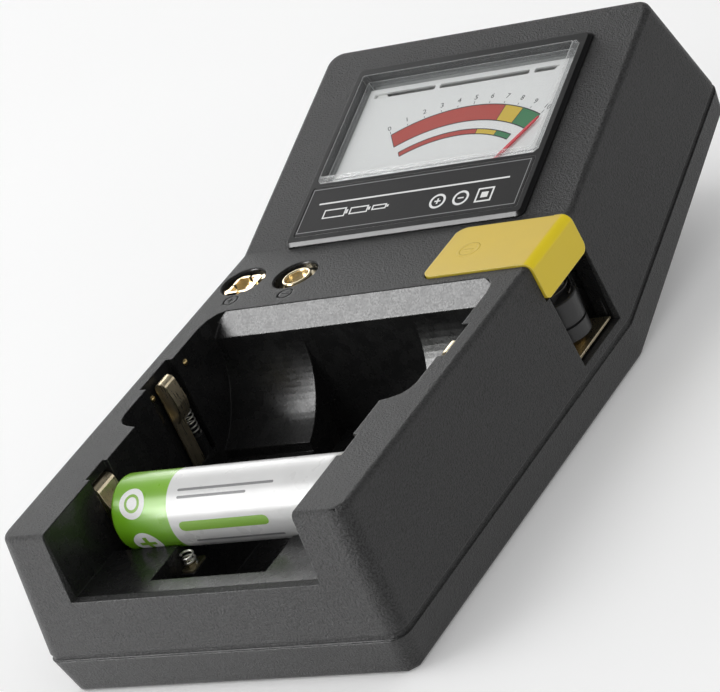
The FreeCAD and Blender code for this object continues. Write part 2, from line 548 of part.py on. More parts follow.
# ------------------------------------------------------- display and meter
BZ = 1.0                 # height of the raised frame around the meter
BZ_X, BZ_L0, BZ_L1 = 28.1, 0.0, 47.3
LENS_X, LENS_L0, LENS_L1, LENS_TOP = 26.1, 15.8, 44.8, 1.9
LENS_CH = 0.9            # cut corners of the cover
frame = rbox(-BZ_X, BZ_X, BZ_L0, BZ_L1, 0.0, BZ, 1.5)
frame = chamfer(frame, 0.65, lambda e: all(abs(v.Point.z - BZ) < 1e-4 for v in e.Vertexes))
LENS_GAP = 0.12
a_, b_, c_, d_ = LENS_X + LENS_GAP, LENS_L0 - LENS_GAP, LENS_L1 + LENS_GAP, LENS_CH + LENS_GAP * 0.4
frame = frame.cut(prism_z([(-a_ + d_, b_), (a_ - d_, b_), (a_, b_ + d_), (a_, c_ - d_), (a_ - d_, c_), (-a_ + d_, c_), (-a_, c_ - d_), (-a_, b_ + d_)], -1, 3))
frame = frame.cut(rbox(-26.3, 26.3, 1.95, 14.75, BZ - 0.2, 3, 0.5))
for sx in (-1, 1):
    a, b = sorted((sx * 25.0, sx * 26.2))
    frame = frame.fuse(box(a, b, 3.0, 15.2, -1.6, 0.1))
put("display_frame", disp(frame))
put("label_plate", disp(rbox(-26.15, 26.15, 2.1, 14.6, BZ - 0.2, BZ - 0.02, 0.4)))

LT = 1.5
lens = box(-LENS_X, LENS_X, LENS_L0, LENS_L1, -2.5, LENS_TOP)
lens = chamfer(lens, LENS_CH, lambda e: abs(e.Vertexes[0].Point.z - e.Vertexes[1].Point.z) > 2.5)
lens = chamfer(lens, 0.9, lambda e: all(abs(v.Point.z - LENS_TOP) < 1e-4 for v in e.Vertexes))

lens = lens.cut(box(-LENS_X + LT, LENS_X - LT, LENS_L0 + LT, LENS_L1 - LT, -5, LENS_TOP - LT))
lens = lens.cut(box(-LENS_X + LT, LENS_X - LT, LENS_L0 - 1, LENS_L0 + LT + 0.1, -5, -0.1))
put("meter_lens", disp(lens))

TRAY_L0, TRAY_L1 = 12.4, 44.0
tray = box(-25.9, 25.9, TRAY_L0, TRAY_L1, -6.5, -2.5)
tray = tray.cut(box(-24.6, 24.6, TRAY_L0 + 1.3, TRAY_L1 - 1.3, -5.3, 0))
fl = rbox(-27.8, 27.8, TRAY_L0 + 0.2, 46.8, -3.3, -2.15, 1.0).cut(box(-OPEN_X, OPEN_X, 0, OPEN_L1, -2.5, 0)).cut(
    box(-24.8, 24.8, 0, TRAY_L1 - 1.2, -5, 0))
tray = tray.fuse(fl)
for x, l in EARS:
    a, b = sorted((x, x * 25.0 / 30.4))
    ear = cyl(2.6, 1.2, V(x, l, -6.4)).fuse(box(a, b, l - 2.6, l + 2.6, -6.4, -5.2))
    tray = tray.fuse(ear)
for x, l in [(-21.5, 14.9), (21.5, 14.9), (-21.5, 40.0), (21.5, 40.0)]:
    tray = tray.fuse(cyl(1.6, 4.8, V(x, l, -6.5)))
DSC = [(-21.5, 14.9), (21.5, 14.9)]
for x, l in DSC:
    tray = tray.cut(cyl(0.8, 4.0, V(x, l, -5.2)))
for x, l in EARS:
    tray = tray.cut(cyl(1.25, 4.0, V(x, l, -8)))
BRS = [(PIVOT_X - 11.6, 10.4), (PIVOT_X + 11.6, 10.4)]
for x, l in BRS:
    tray = tray.fuse(box(x - 1.7, x + 1.7, 8.6, TRAY_L0 + 0.5, -6.5, -4.3))
    tray = tray.cut(cyl(0.75, 3.0, V(x, l, -6.6)))
PB = [(-20.0, 20.5), (20.0, 20.5), (-20.0, 37.5), (20.0, 37.5)]
for x, l in PB:
    tray = tray.fuse(cyl(2.1, 9.6, V(x, l, -16.0)))
    tray = tray.cut(cyl(0.85, 7.0, V(x, l, -17.0)))
put("meter_base", disp(tray))

dial = box(-24.5, 24.5, 12.2, 42.5, -1.7, -1.2)
dial = dial.cut(box(-26, 26, 12, 12.5, -3, 0))
for a_, b_ in ((-23.0, -8.1), (-7.0, 14.4), (15.6, 21.5)):
    dial = dial.cut(rbox(a_, b_, 40.0, 41.2, -3, 0, 0.4))
for x, l in DSC:
    dial = dial.cut(cyl(0.95, 3, V(x, l, -3)))
put("dial_plate", disp(dial))
sc = []
for x, l in DSC:
    t = cyl(1.45, 0.55, V(x, l, -1.2)).cut(box(x - 1.5, x + 1.5, l - 0.2, l + 0.2, -0.9, 0)).fuse(cyl(0.72, 3.4, V(x, l, -4.5)))
    sc.append(disp(t))
put("dial_screws", Part.makeCompound(sc))
sc = []
for x, l in EARS:
    t = cyl(1.9, 1.2, V(x, l, -7.6)).cut(box(x - 1.2, x + 1.2, l - 0.25, l + 0.25, -9, -7.1)).cut(
        box(x - 0.25, x + 0.25, l - 1.2, l + 1.2, -9, -7.1)).fuse(cyl(0.9, 4.4, V(x, l, -6.5)))
    sc.append(disp(t))
put("meter_screws", Part.makeCompound(sc))

# moving coil movement, built about its own axis
PX, PL = PIVOT_X, PIVOT_L


def mv(s):
    t = s.copy()
    t.Placement = FreeCAD.Placement(V(PX, PL, 0), FreeCAD.Rotation()).multiply(t.Placement)
    return disp(t)


def swing(s, a=-NEEDLE_ANGLE):
    t = s.copy()
    t.Placement = FreeCAD.Placement(V(), FreeCAD.Rotation(V(0, 0, 1), a)).multiply(t.Placement)
    return mv(t)


bridge_u = box(-13.3, 13.3, -2.6, 2.6, -3.5, -2.5)
for sx in (-1, 1):
    a, b = sorted((sx * 9.9, sx * 13.3))
    bridge_u = bridge_u.fuse(box(a, b, -2.6, 12.7, -3.5, -2.5))
bridge_u = bridge_u.fuse(box(-13.3, -9.9, 9.2, 12.7, -4.3, -3.4)).fuse(box(9.9, 13.3, 9.2, 12.7, -4.3, -3.4))
bridge_u = bridge_u.cut(cyl(1.0, 4, V(0, 0, -5)))
for sx in (-1, 1):
    bridge_u = bridge_u.cut(cyl(0.8, 4, V(sx * 11.6, 11.0, -6))).cut(cyl(0.8, 4, V(sx * 11.3, 0, -6)))
put("upper_bridge", mv(bridge_u))
base = box(-12.9, 12.9, -2.4, 2.4, -18.4, -17.2)
for sx in (-1, 1):
    base = base.fuse(cyl(1.6, 13.7, V(sx * 11.3, 0, -17.2)))
base = base.cut(cyl(1.0, 4, V(0, 0, -20)))
for sx in (-1, 1):
    base = base.cut(cyl(0.62, 3, V(sx * 11.3, 0, -6.4)))
put("movement_frame", mv(base))
sc = []
for sx in (-1, 1):
    for px, py, top, ln in ((sx * 11.6, 11.0, -2.5, 3.6), (sx * 11.3, 0, -2.5, 3.2)):
        t = cyl(1.3, 0.45, V(px, py, top)).cut(box(px - 1.4, px + 1.4, py - 0.18, py + 0.18, top + 0.22, 0)).fuse(
            cyl(0.6, ln, V(px, py, top - ln + 0.1)))
        sc.append(mv(t))
put("bridge_screws", Part.makeCompound(sc))
put("magnet_yoke", mv(ring(9.65, 8.3, 6.2, V(0, 0, -14.3))))
core = cyl(5.2, 5.6, V(0, 0, -14.0)).cut(box(-9, 9, -1.85, 1.85, -12.0, -10.4)).cut(cyl(0.9, 9, V(0, 0, -16)))
put("core_magnet", mv(core))
put("core_carrier", mv(box(-8.15, 8.15, -1.8, 1.8, -11.95, -10.45).common(cyl(8.28, 9, V(0, 0, -16)))))
# the coil frame stands across the core carrier in mid swing
former = box(-1.7, 1.7, -7.1, 7.1, -14.9, -7.4).cut(box(-3, 3, -6.2, 6.2, -14.45, -7.85))
wind = box(-1.4, 1.4, -7.7, 7.7, -15.5, -6.8).cut(box(-3, 3, -7.1, 7.1, -14.9, -7.4))
put("coil_former", swing(former, -NEEDLE_ANGLE + 0))
put("coil_winding", swing(wind, -NEEDLE_ANGLE + 0))
staffs = [cyl(0.45, 2.9, V(0, 0, -6.8)).fuse(cyl(1.1, 0.35, V(0, 0, -6.75))).fuse(cone(0.45, 0.08, 0.45, V(0, 0, -3.9))),
          cyl(0.45, 1.3, V(0, 0, -16.8)).fuse(cyl(1.1, 0.3, V(0, 0, -15.8))).fuse(cone(0.45, 0.08, 0.4, V(0, 0, -16.8), V(0, 0, -1)))]
put("pivot_staffs", Part.makeCompound([swing(x) for x in staffs]))
j_u = cyl(0.98, 1.5, V(0, 0, -3.6)).cut(cone(0.5, 0.12, 0.45, V(0, 0, -3.6)))
j_l = cyl(0.98, 1.5, V(0, 0, -18.5)).cut(cone(0.5, 0.12, 0.45, V(0, 0, -17.0), V(0, 0, -1)))
j_u = j_u.cut(box(-1.2, 1.2, -0.15, 0.15, -2.4, -2))
j_l = j_l.cut(box(-1.2, 1.2, -0.15, 0.15, -19, -18.2))
put("jewel_screws", Part.makeCompound([mv(j_u), mv(j_l)]))
# pointer: low arm, crank up through the opening, long blade over the dial
H0, H1 = -4.75, -0.85
TH = 0.32
hub = cyl(1.5, 0.8, V(0, 0, H0 - 0.25)).cut(cyl(0.46, 3, V(0, 0, H0 - 1)))


def bar(r0, h0, r1, h1, w0, w1, t):
    """Flat bar in the swing plane from radius r0 to r1."""
    p = [V(-w0 / 2, r0, h0), V(w0 / 2, r0, h0), V(w1 / 2, r1, h1), V(-w1 / 2, r1, h1)]
    q = [v + V(0, 0, t) for v in p]
    return hexa(p, q)


blade = [hub, bar(1.0, H0, 6.6, H0, 1.1, 1.0, TH).cut(cyl(0.46, 3, V(0, 0, H0 - 1))), bar(6.4, H0, 10.2, H1, 1.0, 0.9, TH),
         bar(10.0, H1, NEEDLE_R - 1.5, H1, 0.9, 0.55, TH), bar(NEEDLE_R - 1.55, H1, NEEDLE_R, H1, 0.55, 0.12, TH),
         bar(-5.6, H0, -1.0, H0, 1.4, 1.1, TH)]
put("pointer", swing(join(blade)))
cw = [cyl(0.85, 1.3, V(sx * 0.0, -4.6 + sx * 0.0, H0 + TH)) for sx in (0,)]
put("balance_weight", swing(cw[0]))


def hairspring(z, sgn):
    """Flat spiral strip between the staff and a fixed end, in true shape."""
    n, turns, r0, r1 = 72, 2.0, 0.9, 3.3
    p_in, p_out = [], []
    for i in range(n + 1):
        a = sgn * 2 * math.pi * turns * i / n
        r = r0 + (r1 - r0) * i / n
        p_in.append(V((r - 0.06) * math.cos(a), (r - 0.06) * math.sin(a), z))
        p_out.append(V((r + 0.06) * math.cos(a), (r + 0.06) * math.sin(a), z))
    w = Part.makePolygon(p_out + p_in[::-1] + [p_out[0]])
    s = Part.Face(w).extrude(V(0, 0, 0.35))
    return s.fuse(ring(0.95, 0.47, 0.35, V(0, 0, z)))


put("hairspring_upper", mv(hairspring(-5.75, 1)))
put("hairspring_lower", mv(hairspring(-16.35, -1)))

# ------------------------------------------------------------ circuit board
BH = -17.6
board = rbox(-24.5, 24.5, 16.0, 42.0, BH, -16.0, 1.0)
for x, l in PB:
    board = board.cut(cyl(1.15, 4, V(x, l, BH - 1)))
put("circuit_board", disp(board))
sc = []
for x, l in PB:
    t = cyl(1.8, 1.1, V(x, l, BH - 1.1)).cut(box(x - 1.1, x + 1.1, l - 0.25, l + 0.25, BH - 2, BH - 0.7)).cut(
        box(x - 0.25, x + 0.25, l - 1.1, l + 1.1, BH - 2, BH - 0.7)).fuse(cyl(0.8, 6.2, V(x, l, BH - 0.1)))
    sc.append(disp(t))
put("board_screws", Part.makeCompound(sc))


def resistor(x, l, h, r, ln, lead):
    b = cyl(r, ln, V(x - ln / 2, l, h), V(1, 0, 0))
    for e in (-1, 1):
        b = b.fuse(cyl(r * 1.18, ln * 0.22, V(x + e * ln * 0.39 - ln * 0.11, l, h), V(1, 0, 0)))
    x0, x1 = x - ln / 2 - 1.2, x + ln / 2 + 1.2
    b = b.fuse(cyl(lead, x1 - x0, V(x0, l, h), V(1, 0, 0)))
    for q in (x0, x1):
        b = b.fuse(cyl(lead, abs(-16.0 - h), V(q, l, min(h, -16.0)))).fuse(Part.makeSphere(lead, V(q, l, h)))
    return disp(b)


put("range_resistors", Part.makeCompound([resistor(-6.0, 19.5 + 4.2 * i, -14.3, 0.95, 6.2, 0.3) for i in range(5)]))
put("load_resistors", Part.makeCompound([resistor(8.6, 21.0 + 7.2 * i, -13.1, 2.3, 12.0, 0.38) for i in range(2)]))
trim = box(-17.5, -11.0, 23.5, 30.0, -16.0, -12.4)
trim = trim.cut(cyl(2.5, 3, V(-14.25, 26.75, -13.2)))
put("trimmer_body", disp(trim))
rot = cyl(2.4, 0.9, V(-14.25, 26.75, -13.2)).cut(box(-16.2, -12.3, 26.4, 27.1, -12.7, -12))
put("trimmer_rotor", disp(rot))

# --------------------------------------------------------- snap contacts
CAR_Z = TOP_Z - WALL
car = box(-35.9, -13.6, CLIP_Y - 5.9, CLIP_Y + 5.9, CAR_Z - 1.5, CAR_Z)
for x, y in PEGS:
    car = car.cut(cyl(0.96, 4, V(x, y, CAR_Z - 2)))
for i in range(2):
    car = car.cut(cyl(1.3, 4, V(CLIP_X + i * CLIP_PITCH, CLIP_Y, CAR_Z - 2)))
put("clip_carrier", car)
SNAP_TOP = TOP_Z - 0.55
px_, ny_ = CLIP_X, CLIP_Y
sq = box(px_ - 3.0, px_ + 3.0, ny_ - 3.0, ny_ + 3.0, CAR_Z, SNAP_TOP)
sq = chamfer(sq, 0.9, lambda e: abs(e.Vertexes[0].Point.z - e.Vertexes[1].Point.z) > 1.0)
sq = sq.cut(box(px_ - 2.35, px_ + 2.35, ny_ - 2.35, ny_ + 2.35, CAR_Z + 0.4, 60))
sq = sq.cut(box(px_ - 0.3, px_ + 0.3, ny_ - 9, ny_ + 9, CAR_Z + 0.5, 60)).cut(box(px_ - 9, px_ + 9, ny_ - 0.3, ny_ + 0.3, CAR_Z + 0.5, 60))
sq = sq.fuse(cyl(4.3, 0.4, V(px_, ny_, CAR_Z)))
for a in (35, 215):
    t = box(3.2, 4.35, -0.9, 0.9, CAR_Z + 0.2, SNAP_TOP - 0.15)
    t.rotate(V(0, 0, 0), V(0, 0, 1), a)
    t.translate(V(px_, ny_, 0))
    sq = sq.fuse(t.common(cyl(4.4, 20, V(px_, ny_, 20))))
sq = sq.fuse(cyl(1.25, 2.1, V(px_, ny_, CAR_Z - 2.0))).fuse(cyl(2.1, 0.5, V(px_, ny_, CAR_Z - 2.0)))
put("snap_socket", sq)
nx_ = CLIP_X + CLIP_PITCH
st = ring(2.95, 2.5, SNAP_TOP - CAR_Z - 0.2, V(nx_, ny_, CAR_Z + 0.2))
st = st.fuse(Part.makeTorus(2.72, 0.32, V(nx_, ny_, SNAP_TOP - 0.1), V(0, 0, 1)))
st = st.fuse(cyl(4.3, 0.4, V(nx_, ny_, CAR_Z)))
st = st.fuse(cyl(1.25, 2.1, V(nx_, ny_, CAR_Z - 2.0))).fuse(cyl(2.1, 0.5, V(nx_, ny_, CAR_Z - 2.0)))
put("snap_stud", st)

# -------------------------------------------------------- cell contacts
def leaf_front(sgn, tip):
    w = LEAF_FX
    pts = [(w, 13.6), (w, 29.9)] + arc_pts(w - 1.5, 29.9, 1.5, 0, 180, 10)[1:]
    pts += [(w - 3.25, 28.6), (tip + 0.25, 25.8), (tip, 24.4), (tip, 23.4), (tip + 0.6, 21.2), (tip + 1.6, 19.2), (tip + 2.5, 18.4)]
    return strip([(sgn * x, z) for x, z in pts], 5.6, 0.36, sum(GR_F) / 2)


put("leaf_front_left", leaf_front(-1, -CELL_LEFT_X + NUB_LEN + 0.30))
put("leaf_front_right", leaf_front(1, CELL_LEFT_X + CELL_BODY + 0.30))


def leaf_rear(sgn):
    w = LEAF_RX
    pts = [(w, 12.4), (w, 31.4)] + arc_pts(w - 1.2, 31.4, 1.2, 0, 180, 10)[1:]
    pts += [(w - 2.75, 29.2), (w - 2.95, 27.4), (w - 2.7, 25.8), (w - 1.9, 24.2), (w - 1.3, 23.7)]
    return strip([(sgn * x, z) for x, z in pts], 3.4, 0.36, GR_R[0] + 1.95)


put("leaf_rear_left", leaf_rear(-1))
put("leaf_rear_right", leaf_rear(1))
put("wall_springs", Part.makeCompound([coil(1.08, 0.34, 0.95, 10.45, V(s_ * (R_ + 1.2), SPR_Y, 18.3)) for s_ in (-1, 1)]))
put("contact_rivets", Part.makeCompound([
    cyl(0.48, 1.5, V(s_ * (x - 0.1), y, z), V(s_, 0, 0)).fuse(
        Part.makeSphere(0.72, V(s_ * (x + 0.22), y, z)).common(
            box(*sorted((s_ * (x - 2), s_ * x)), y - 2, y + 2, z - 2, z + 2))) for s_ in (-1, 1) for y, z, x in RIVETS]))
put("channel_strip", rbox(-12.85, -9.95, 11.9, 16.7, 15.6, 16.0, 0.5))
put("channel_spring", coil(1.1, 0.46, 0.95, 2.5, V(-11.4, 13.9, 16.26)))

# ------------------------------------------- clamp lever of the button slot
zt = lever_top_z
flap = rbox(14.7, 60, LEVER_Y0 + 0.12, LEVER_Y1 - 0.18, zt - FL_T, zt, 2.3).common(box(14, 37.2, 60, 110, zt - FL_T, zt))
flap = flap.fuse(box(36.2, 38.6, LEVER_Y0, LEVER_Y1, zt - FL_T, zt))


def side_x(z):
    return TOP_HALF + side_k * (TOP_Z - z)


outer_side = [(side_x(zt) + 0.5, zt), (side_x(26.2) + 0.5, 26.2), (side_x(26.2) - 1.25, 26.2), (37.85, zt - FL_T), (36.0, zt)]
flap = flap.fuse(prism_y(outer_side, LEVER_Y0, LEVER_Y1)).removeSplitter()
flap = fillet(flap, 2.0, lambda e: abs(e.Vertexes[0].Point.x - e.Vertexes[1].Point.x) < 1e-3 and abs(e.Vertexes[0].Point.x - side_x(zt) - 0.5) < 0.02
              and abs(e.Vertexes[0].Point.z - zt) < 0.01 and abs(e.Vertexes[1].Point.z - zt) < 0.01)
for y_, e_, r_ in ((LEVER_Y0, 1, 1.2), (LEVER_Y1, -1, 1.7)):
    c_ = box(*sorted((30, 50)), *sorted((y_ - e_ * 0.1, y_ + e_ * r_)), 26.1, 26.2 + r_)
    flap = flap.cut(c_.cut(cyl(r_, 24, V(28, y_ + e_ * r_, 26.2 + r_), V(1, 0, 0))))
flap = flap.cut(box(PLUNGER_X - 1.0, PLUNGER_X + 1.0, PLUNGER_Y - 1.5, PLUNGER_Y + 1.5, zt - FL_T - 1, zt - FL_T + 0.8))
put("clamp_lever", flap)
stem = box(PLUNGER_X - STEM / 2, PLUNGER_X + STEM / 2, PLUNGER_Y - STEM_L / 2, PLUNGER_Y + STEM_L / 2, 21.6, zt - FL_T)
stem = stem.fuse(box(PLUNGER_X - 1.0, PLUNGER_X + 1.0, PLUNGER_Y - 1.5, PLUNGER_Y + 1.5, zt - FL_T - 0.2, zt - FL_T + 0.75))
stem = stem.fuse(cyl(1.5, 5.0, V(PLUNGER_X, PLUNGER_Y, 17.0)))
put("clamp_stem", stem)
PLZ0, PLZ1 = 13.3, 21.6
pl = cyl(PLUNGER_R, PLZ1 - PLZ0, V(PLUNGER_X, PLUNGER_Y, PLZ0))
pl = pl.cut(ring(PLUNGER_R + 1, PLUNGER_R - 0.7, 0.5, V(PLUNGER_X, PLUNGER_Y, 16.1)))
pl = chamfer(pl, 0.3, lambda e: abs(e.BoundBox.ZMax - PLZ1) < 1e-4 and abs(e.BoundBox.ZMin - PLZ1) < 1e-4)
pl = pl.cut(cyl(1.5, 6, V(PLUNGER_X, PLUNGER_Y, 17.0))).cut(cyl(1.2, 3.0, V(PLUNGER_X, PLUNGER_Y, 12.0)))
put("plunger", pl)
tip = cyl(1.2, 2.6, V(PLUNGER_X, PLUNGER_Y, 12.3)).fuse(cyl(2.6, 1.0, V(PLUNGER_X, PLUNGER_Y, 12.3)))
tip = chamfer(tip, 0.35, lambda e: abs(e.BoundBox.ZMax - 12.3) < 1e-4)
put("plunger_tip", tip)
put("lever_spring", coil(3.8, 0.42, 1.66, 7.1, V(PLUNGER_X, PLUNGER_Y, 21.95)))
put("button_plate", box(16.0, 38.6, CH_Y0 + 0.75, CH_Y1 - 0.75, 11.3, 11.8))

# --------------------------------------------------------- the cell on test
def turn_x(pts):
    """Outline in (x, radius) revolved about the cell axis."""
    w = Part.makePolygon([V(a, 0, b) for a, b in pts] + [V(pts[0][0], 0, pts[0][1])])
    s = Part.Face(w).revolve(V(0, 0, 0), V(1, 0, 0), 360)
    s.translate(V(0, CELL_Y, CELL_Z))
    return s


x0, x1, rr = CELL_LEFT_X, CELL_LEFT_X + CELL_BODY, CELL_DIA / 2
slv = [(x0, rr - 1.5), (x0, rr - 1.0)] + [(x0 + 0.9 - 0.9 * math.cos(t), rr - 0.9 + 0.9 * math.sin(t)) for t in [math.radians(a) for a in (20, 40, 60, 80, 90)]]
slv += [(x1 - 0.7 + 0.7 * math.sin(t), rr - 0.7 + 0.7 * math.cos(t)) for t in [math.radians(a) for a in (0, 25, 50, 75)]] + [(x1, rr - 0.8), (x1, rr - 1.4)]
slv += [(x1 - 0.22, rr - 1.4), (x1 - 0.22, rr - 0.75), (x1 - 0.75, rr - 0.22), (x0 + 0.9, rr - 0.22), (x0 + 0.25, rr - 0.95), (x0 + 0.22, rr - 1.5)]
put("cell_sleeve", turn_x(slv))
can = [(x0 + 0.45, 0), (x0 + 0.45, rr - 1.55), (x0 + 0.30, rr - 1.25), (x0 + 0.92, rr - 0.26), (x1 - 0.77, rr - 0.26), (x1 - 0.26, rr - 0.78),
       (x1 - 0.26, rr - 1.45), (x1 - 0.05, rr - 1.6), (x1 - 0.05, 0)]
put("cell_can", turn_x(can))
capp = [(x0 + 0.45, 0), (x0 - NUB_LEN, 0), (x0 - NUB_LEN, NUB_DIA / 2 - 0.4), (x0 - NUB_LEN + 0.4, NUB_DIA / 2), (x0 + 0.15, NUB_DIA / 2), (x0 + 0.25, 3.6), (x0 + 0.45, 3.6)]
put("cell_cap", turn_x(capp))
put("cell_washer", turn_x([(x0 + 0.45, 3.65), (x0 + 0.1, 3.65), (x0 + 0.1, rr - 1.6), (x0 + 0.45, rr - 1.6)]))

# ------------------------------------------------------------------- wiring
def dp(x, l, h):
    return ORG + ALG * l + NRM * h + V(x, 0, 0)


put("wire_positive", tube([V(CLIP_X, CLIP_Y, CAR_Z - 2.05), V(CLIP_X, CLIP_Y, 20.0), V(-30.0, 97.0, 18.0), dp(-27.5, 16.0, -20.5), dp(-22.0, 18.0, -20.5), dp(-22.0, 18.0, BH - 0.02)], 0.65))
put("wire_negative", tube([V(nx_, CLIP_Y, CAR_Z - 2.05), V(nx_, CLIP_Y, 18.0), V(-17.0, 96.0, 16.5), dp(-12.0, 17.6, -20.8), dp(-12.0, 17.6, BH - 0.02)], 0.65))
put("wire_plate", tube([V(15.95, 80.0, 11.55), V(14.0, 80.0, 11.55), V(14.0, 97.0, 12.5), dp(10.0, 18.0, -21.0), dp(10.0, 18.0, BH - 0.02)], 0.65))


for name, shape in NODES.items():
    shape.exportStep("parts/" + name + ".step")
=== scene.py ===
import bpy, bmesh, math
from mathutils import Vector, Matrix


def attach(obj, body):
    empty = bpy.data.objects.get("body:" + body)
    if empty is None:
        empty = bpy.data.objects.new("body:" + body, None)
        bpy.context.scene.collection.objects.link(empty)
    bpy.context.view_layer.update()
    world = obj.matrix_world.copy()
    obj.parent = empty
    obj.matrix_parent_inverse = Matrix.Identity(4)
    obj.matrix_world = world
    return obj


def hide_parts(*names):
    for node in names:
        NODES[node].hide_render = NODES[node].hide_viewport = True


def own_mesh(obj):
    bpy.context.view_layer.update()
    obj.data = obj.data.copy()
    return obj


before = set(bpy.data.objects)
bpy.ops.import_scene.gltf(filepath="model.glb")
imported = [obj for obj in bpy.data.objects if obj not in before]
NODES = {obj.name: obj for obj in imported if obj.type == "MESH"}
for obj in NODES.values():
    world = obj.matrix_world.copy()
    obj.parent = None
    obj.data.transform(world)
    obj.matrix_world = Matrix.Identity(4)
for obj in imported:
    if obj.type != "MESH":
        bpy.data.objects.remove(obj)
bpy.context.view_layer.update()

MM = 0.001
COL = bpy.context.scene.collection

# ------------------------------------------------------------------ geometry of the case, from the design
TILT = math.radians(16.6)
CT, ST = math.cos(TILT), math.sin(TILT)
ORG = Vector((0.0, 94.3, 33.9)) * MM
NRM = Vector((0.0, -ST, CT))
ALG = Vector((0.0, CT, ST))
PIV = (2.9, -0.6)


def dp(x, l, h):
    """Point of the display slope: across, along the slope, out of it (mm)."""
    return ORG + Vector((x * MM, 0, 0)) + ALG * (l * MM) + NRM * (h * MM)


# ------------------------------------------------------------------ node helpers
class Graph:
    def __init__(self, name):
        self.m = bpy.data.materials.new(name)
        self.m.use_nodes = True
        self.t = self.m.node_tree
        self.t.nodes.clear()
        self.out = self.t.nodes.new("ShaderNodeOutputMaterial")
        self.co = self.t.nodes.new("ShaderNodeTexCoord").outputs["Object"]
        self.x = 0

    def n(self, kind, **kw):
        node = self.t.nodes.new(kind)
        self.x += 180
        node.location = (self.x, 0)
        for k, v in kw.items():
            setattr(node, k, v)
        return node

    def link(self, a, b):
        self.t.links.new(a, b)

    def setv(self, sock, v):
        if hasattr(v, "is_output"):
            self.link(v, sock)
        elif isinstance(v, (tuple, list)) and len(v) == 3 and sock.type == "RGBA":
            sock.default_value = (*v, 1.0)
        else:
            sock.default_value = v

    def noise(self, scale, detail=2.0, rough=0.5, co=None, dist=0.0):
        k = self.n("ShaderNodeTexNoise")
        self.link(co or self.co, k.inputs["Vector"])
        k.inputs["Scale"].default_value = scale
        k.inputs["Detail"].default_value = detail
        k.inputs["Roughness"].default_value = rough
        k.inputs["Distortion"].default_value = dist
        return k.outputs["Fac"]

    def voronoi(self, scale, feature="F1", co=None, rnd=1.0):
        k = self.n("ShaderNodeTexVoronoi", feature=feature)
        self.link(co or self.co, k.inputs["Vector"])
        k.inputs["Scale"].default_value = scale
        k.inputs["Randomness"].default_value = rnd
        return k.outputs["Distance"]

    def math(self, op, a, b=0.0, c=None, clamp=False):
        k = self.n("ShaderNodeMath", operation=op)
        k.use_clamp = clamp
        self.setv(k.inputs[0], a)
        self.setv(k.inputs[1], b)
        if c is not None:
            self.setv(k.inputs[2], c)
        return k.outputs[0]

    def rng(self, v, a, b, c, d, smooth=False):
        k = self.n("ShaderNodeMapRange", clamp=True)
        if smooth:
            k.interpolation_type = "SMOOTHSTEP"
        self.setv(k.inputs["Value"], v)
        for nm, q in (("From Min", a), ("From Max", b), ("To Min", c), ("To Max", d)):
            self.setv(k.inputs[nm], q)
        return k.outputs["Result"]

    def mix(self, f, a, b, blend="MIX"):
        k = self.n("ShaderNodeMix", data_type="RGBA", blend_type=blend)
        self.setv(k.inputs["Factor"], f)
        ca = [s for s in k.inputs if s.name == "A" and s.type == "RGBA"][0]
        cb = [s for s in k.inputs if s.name == "B" and s.type == "RGBA"][0]
        self.setv(ca, a)
        self.setv(cb, b)
        return [s for s in k.outputs if s.type == "RGBA"][0]

    def fmix(self, f, a, b):
        k = self.n("ShaderNodeMix", data_type="FLOAT")
        self.setv(k.inputs["Factor"], f)
        self.setv(k.inputs["A"], a)
        self.setv(k.inputs["B"], b)
        return [s for s in k.outputs if s.type == "VALUE"][0]

    def xyz(self, co=None):
        k = self.n("ShaderNodeSeparateXYZ")
        self.link(co or self.co, k.inputs[0])
        return k.outputs[0], k.outputs[1], k.outputs[2]

    def bevel(self, radius, samples=4):
        k = self.n("ShaderNodeBevel", samples=samples)
        k.inputs["Radius"].default_value = radius
        return k.outputs["Normal"]

    def geom(self, name):
        return self.n("ShaderNodeNewGeometry").outputs[name]

    def edge(self, bev, soft=0.12):
        """0 on flat surfaces, 1 on sharp or rounded edges, from a rounded normal."""
        d = self.n("ShaderNodeVectorMath", operation="DOT_PRODUCT")
        self.link(bev, d.inputs[0])
        self.link(self.geom("Normal"), d.inputs[1])
        return self.rng(d.outputs["Value"], 1.0, 1.0 - soft, 0.0, 1.0)

    def bump(self, height, dist, normal=None, strength=1.0):
        k = self.n("ShaderNodeBump")
        k.inputs["Strength"].default_value = strength
        k.inputs["Distance"].default_value = dist
        self.link(height, k.inputs["Height"])
        if normal is not None:
            self.link(normal, k.inputs["Normal"])
        return k.outputs["Normal"]

    def bsdf(self, **kw):
        k = self.n("ShaderNodeBsdfPrincipled")
        for nm, v in kw.items():
            self.setv(k.inputs[nm.replace("_", " ")], v)
        return k

    def done(self, k):
        self.link(k.outputs[0], self.out.inputs["Surface"])
        return self.m


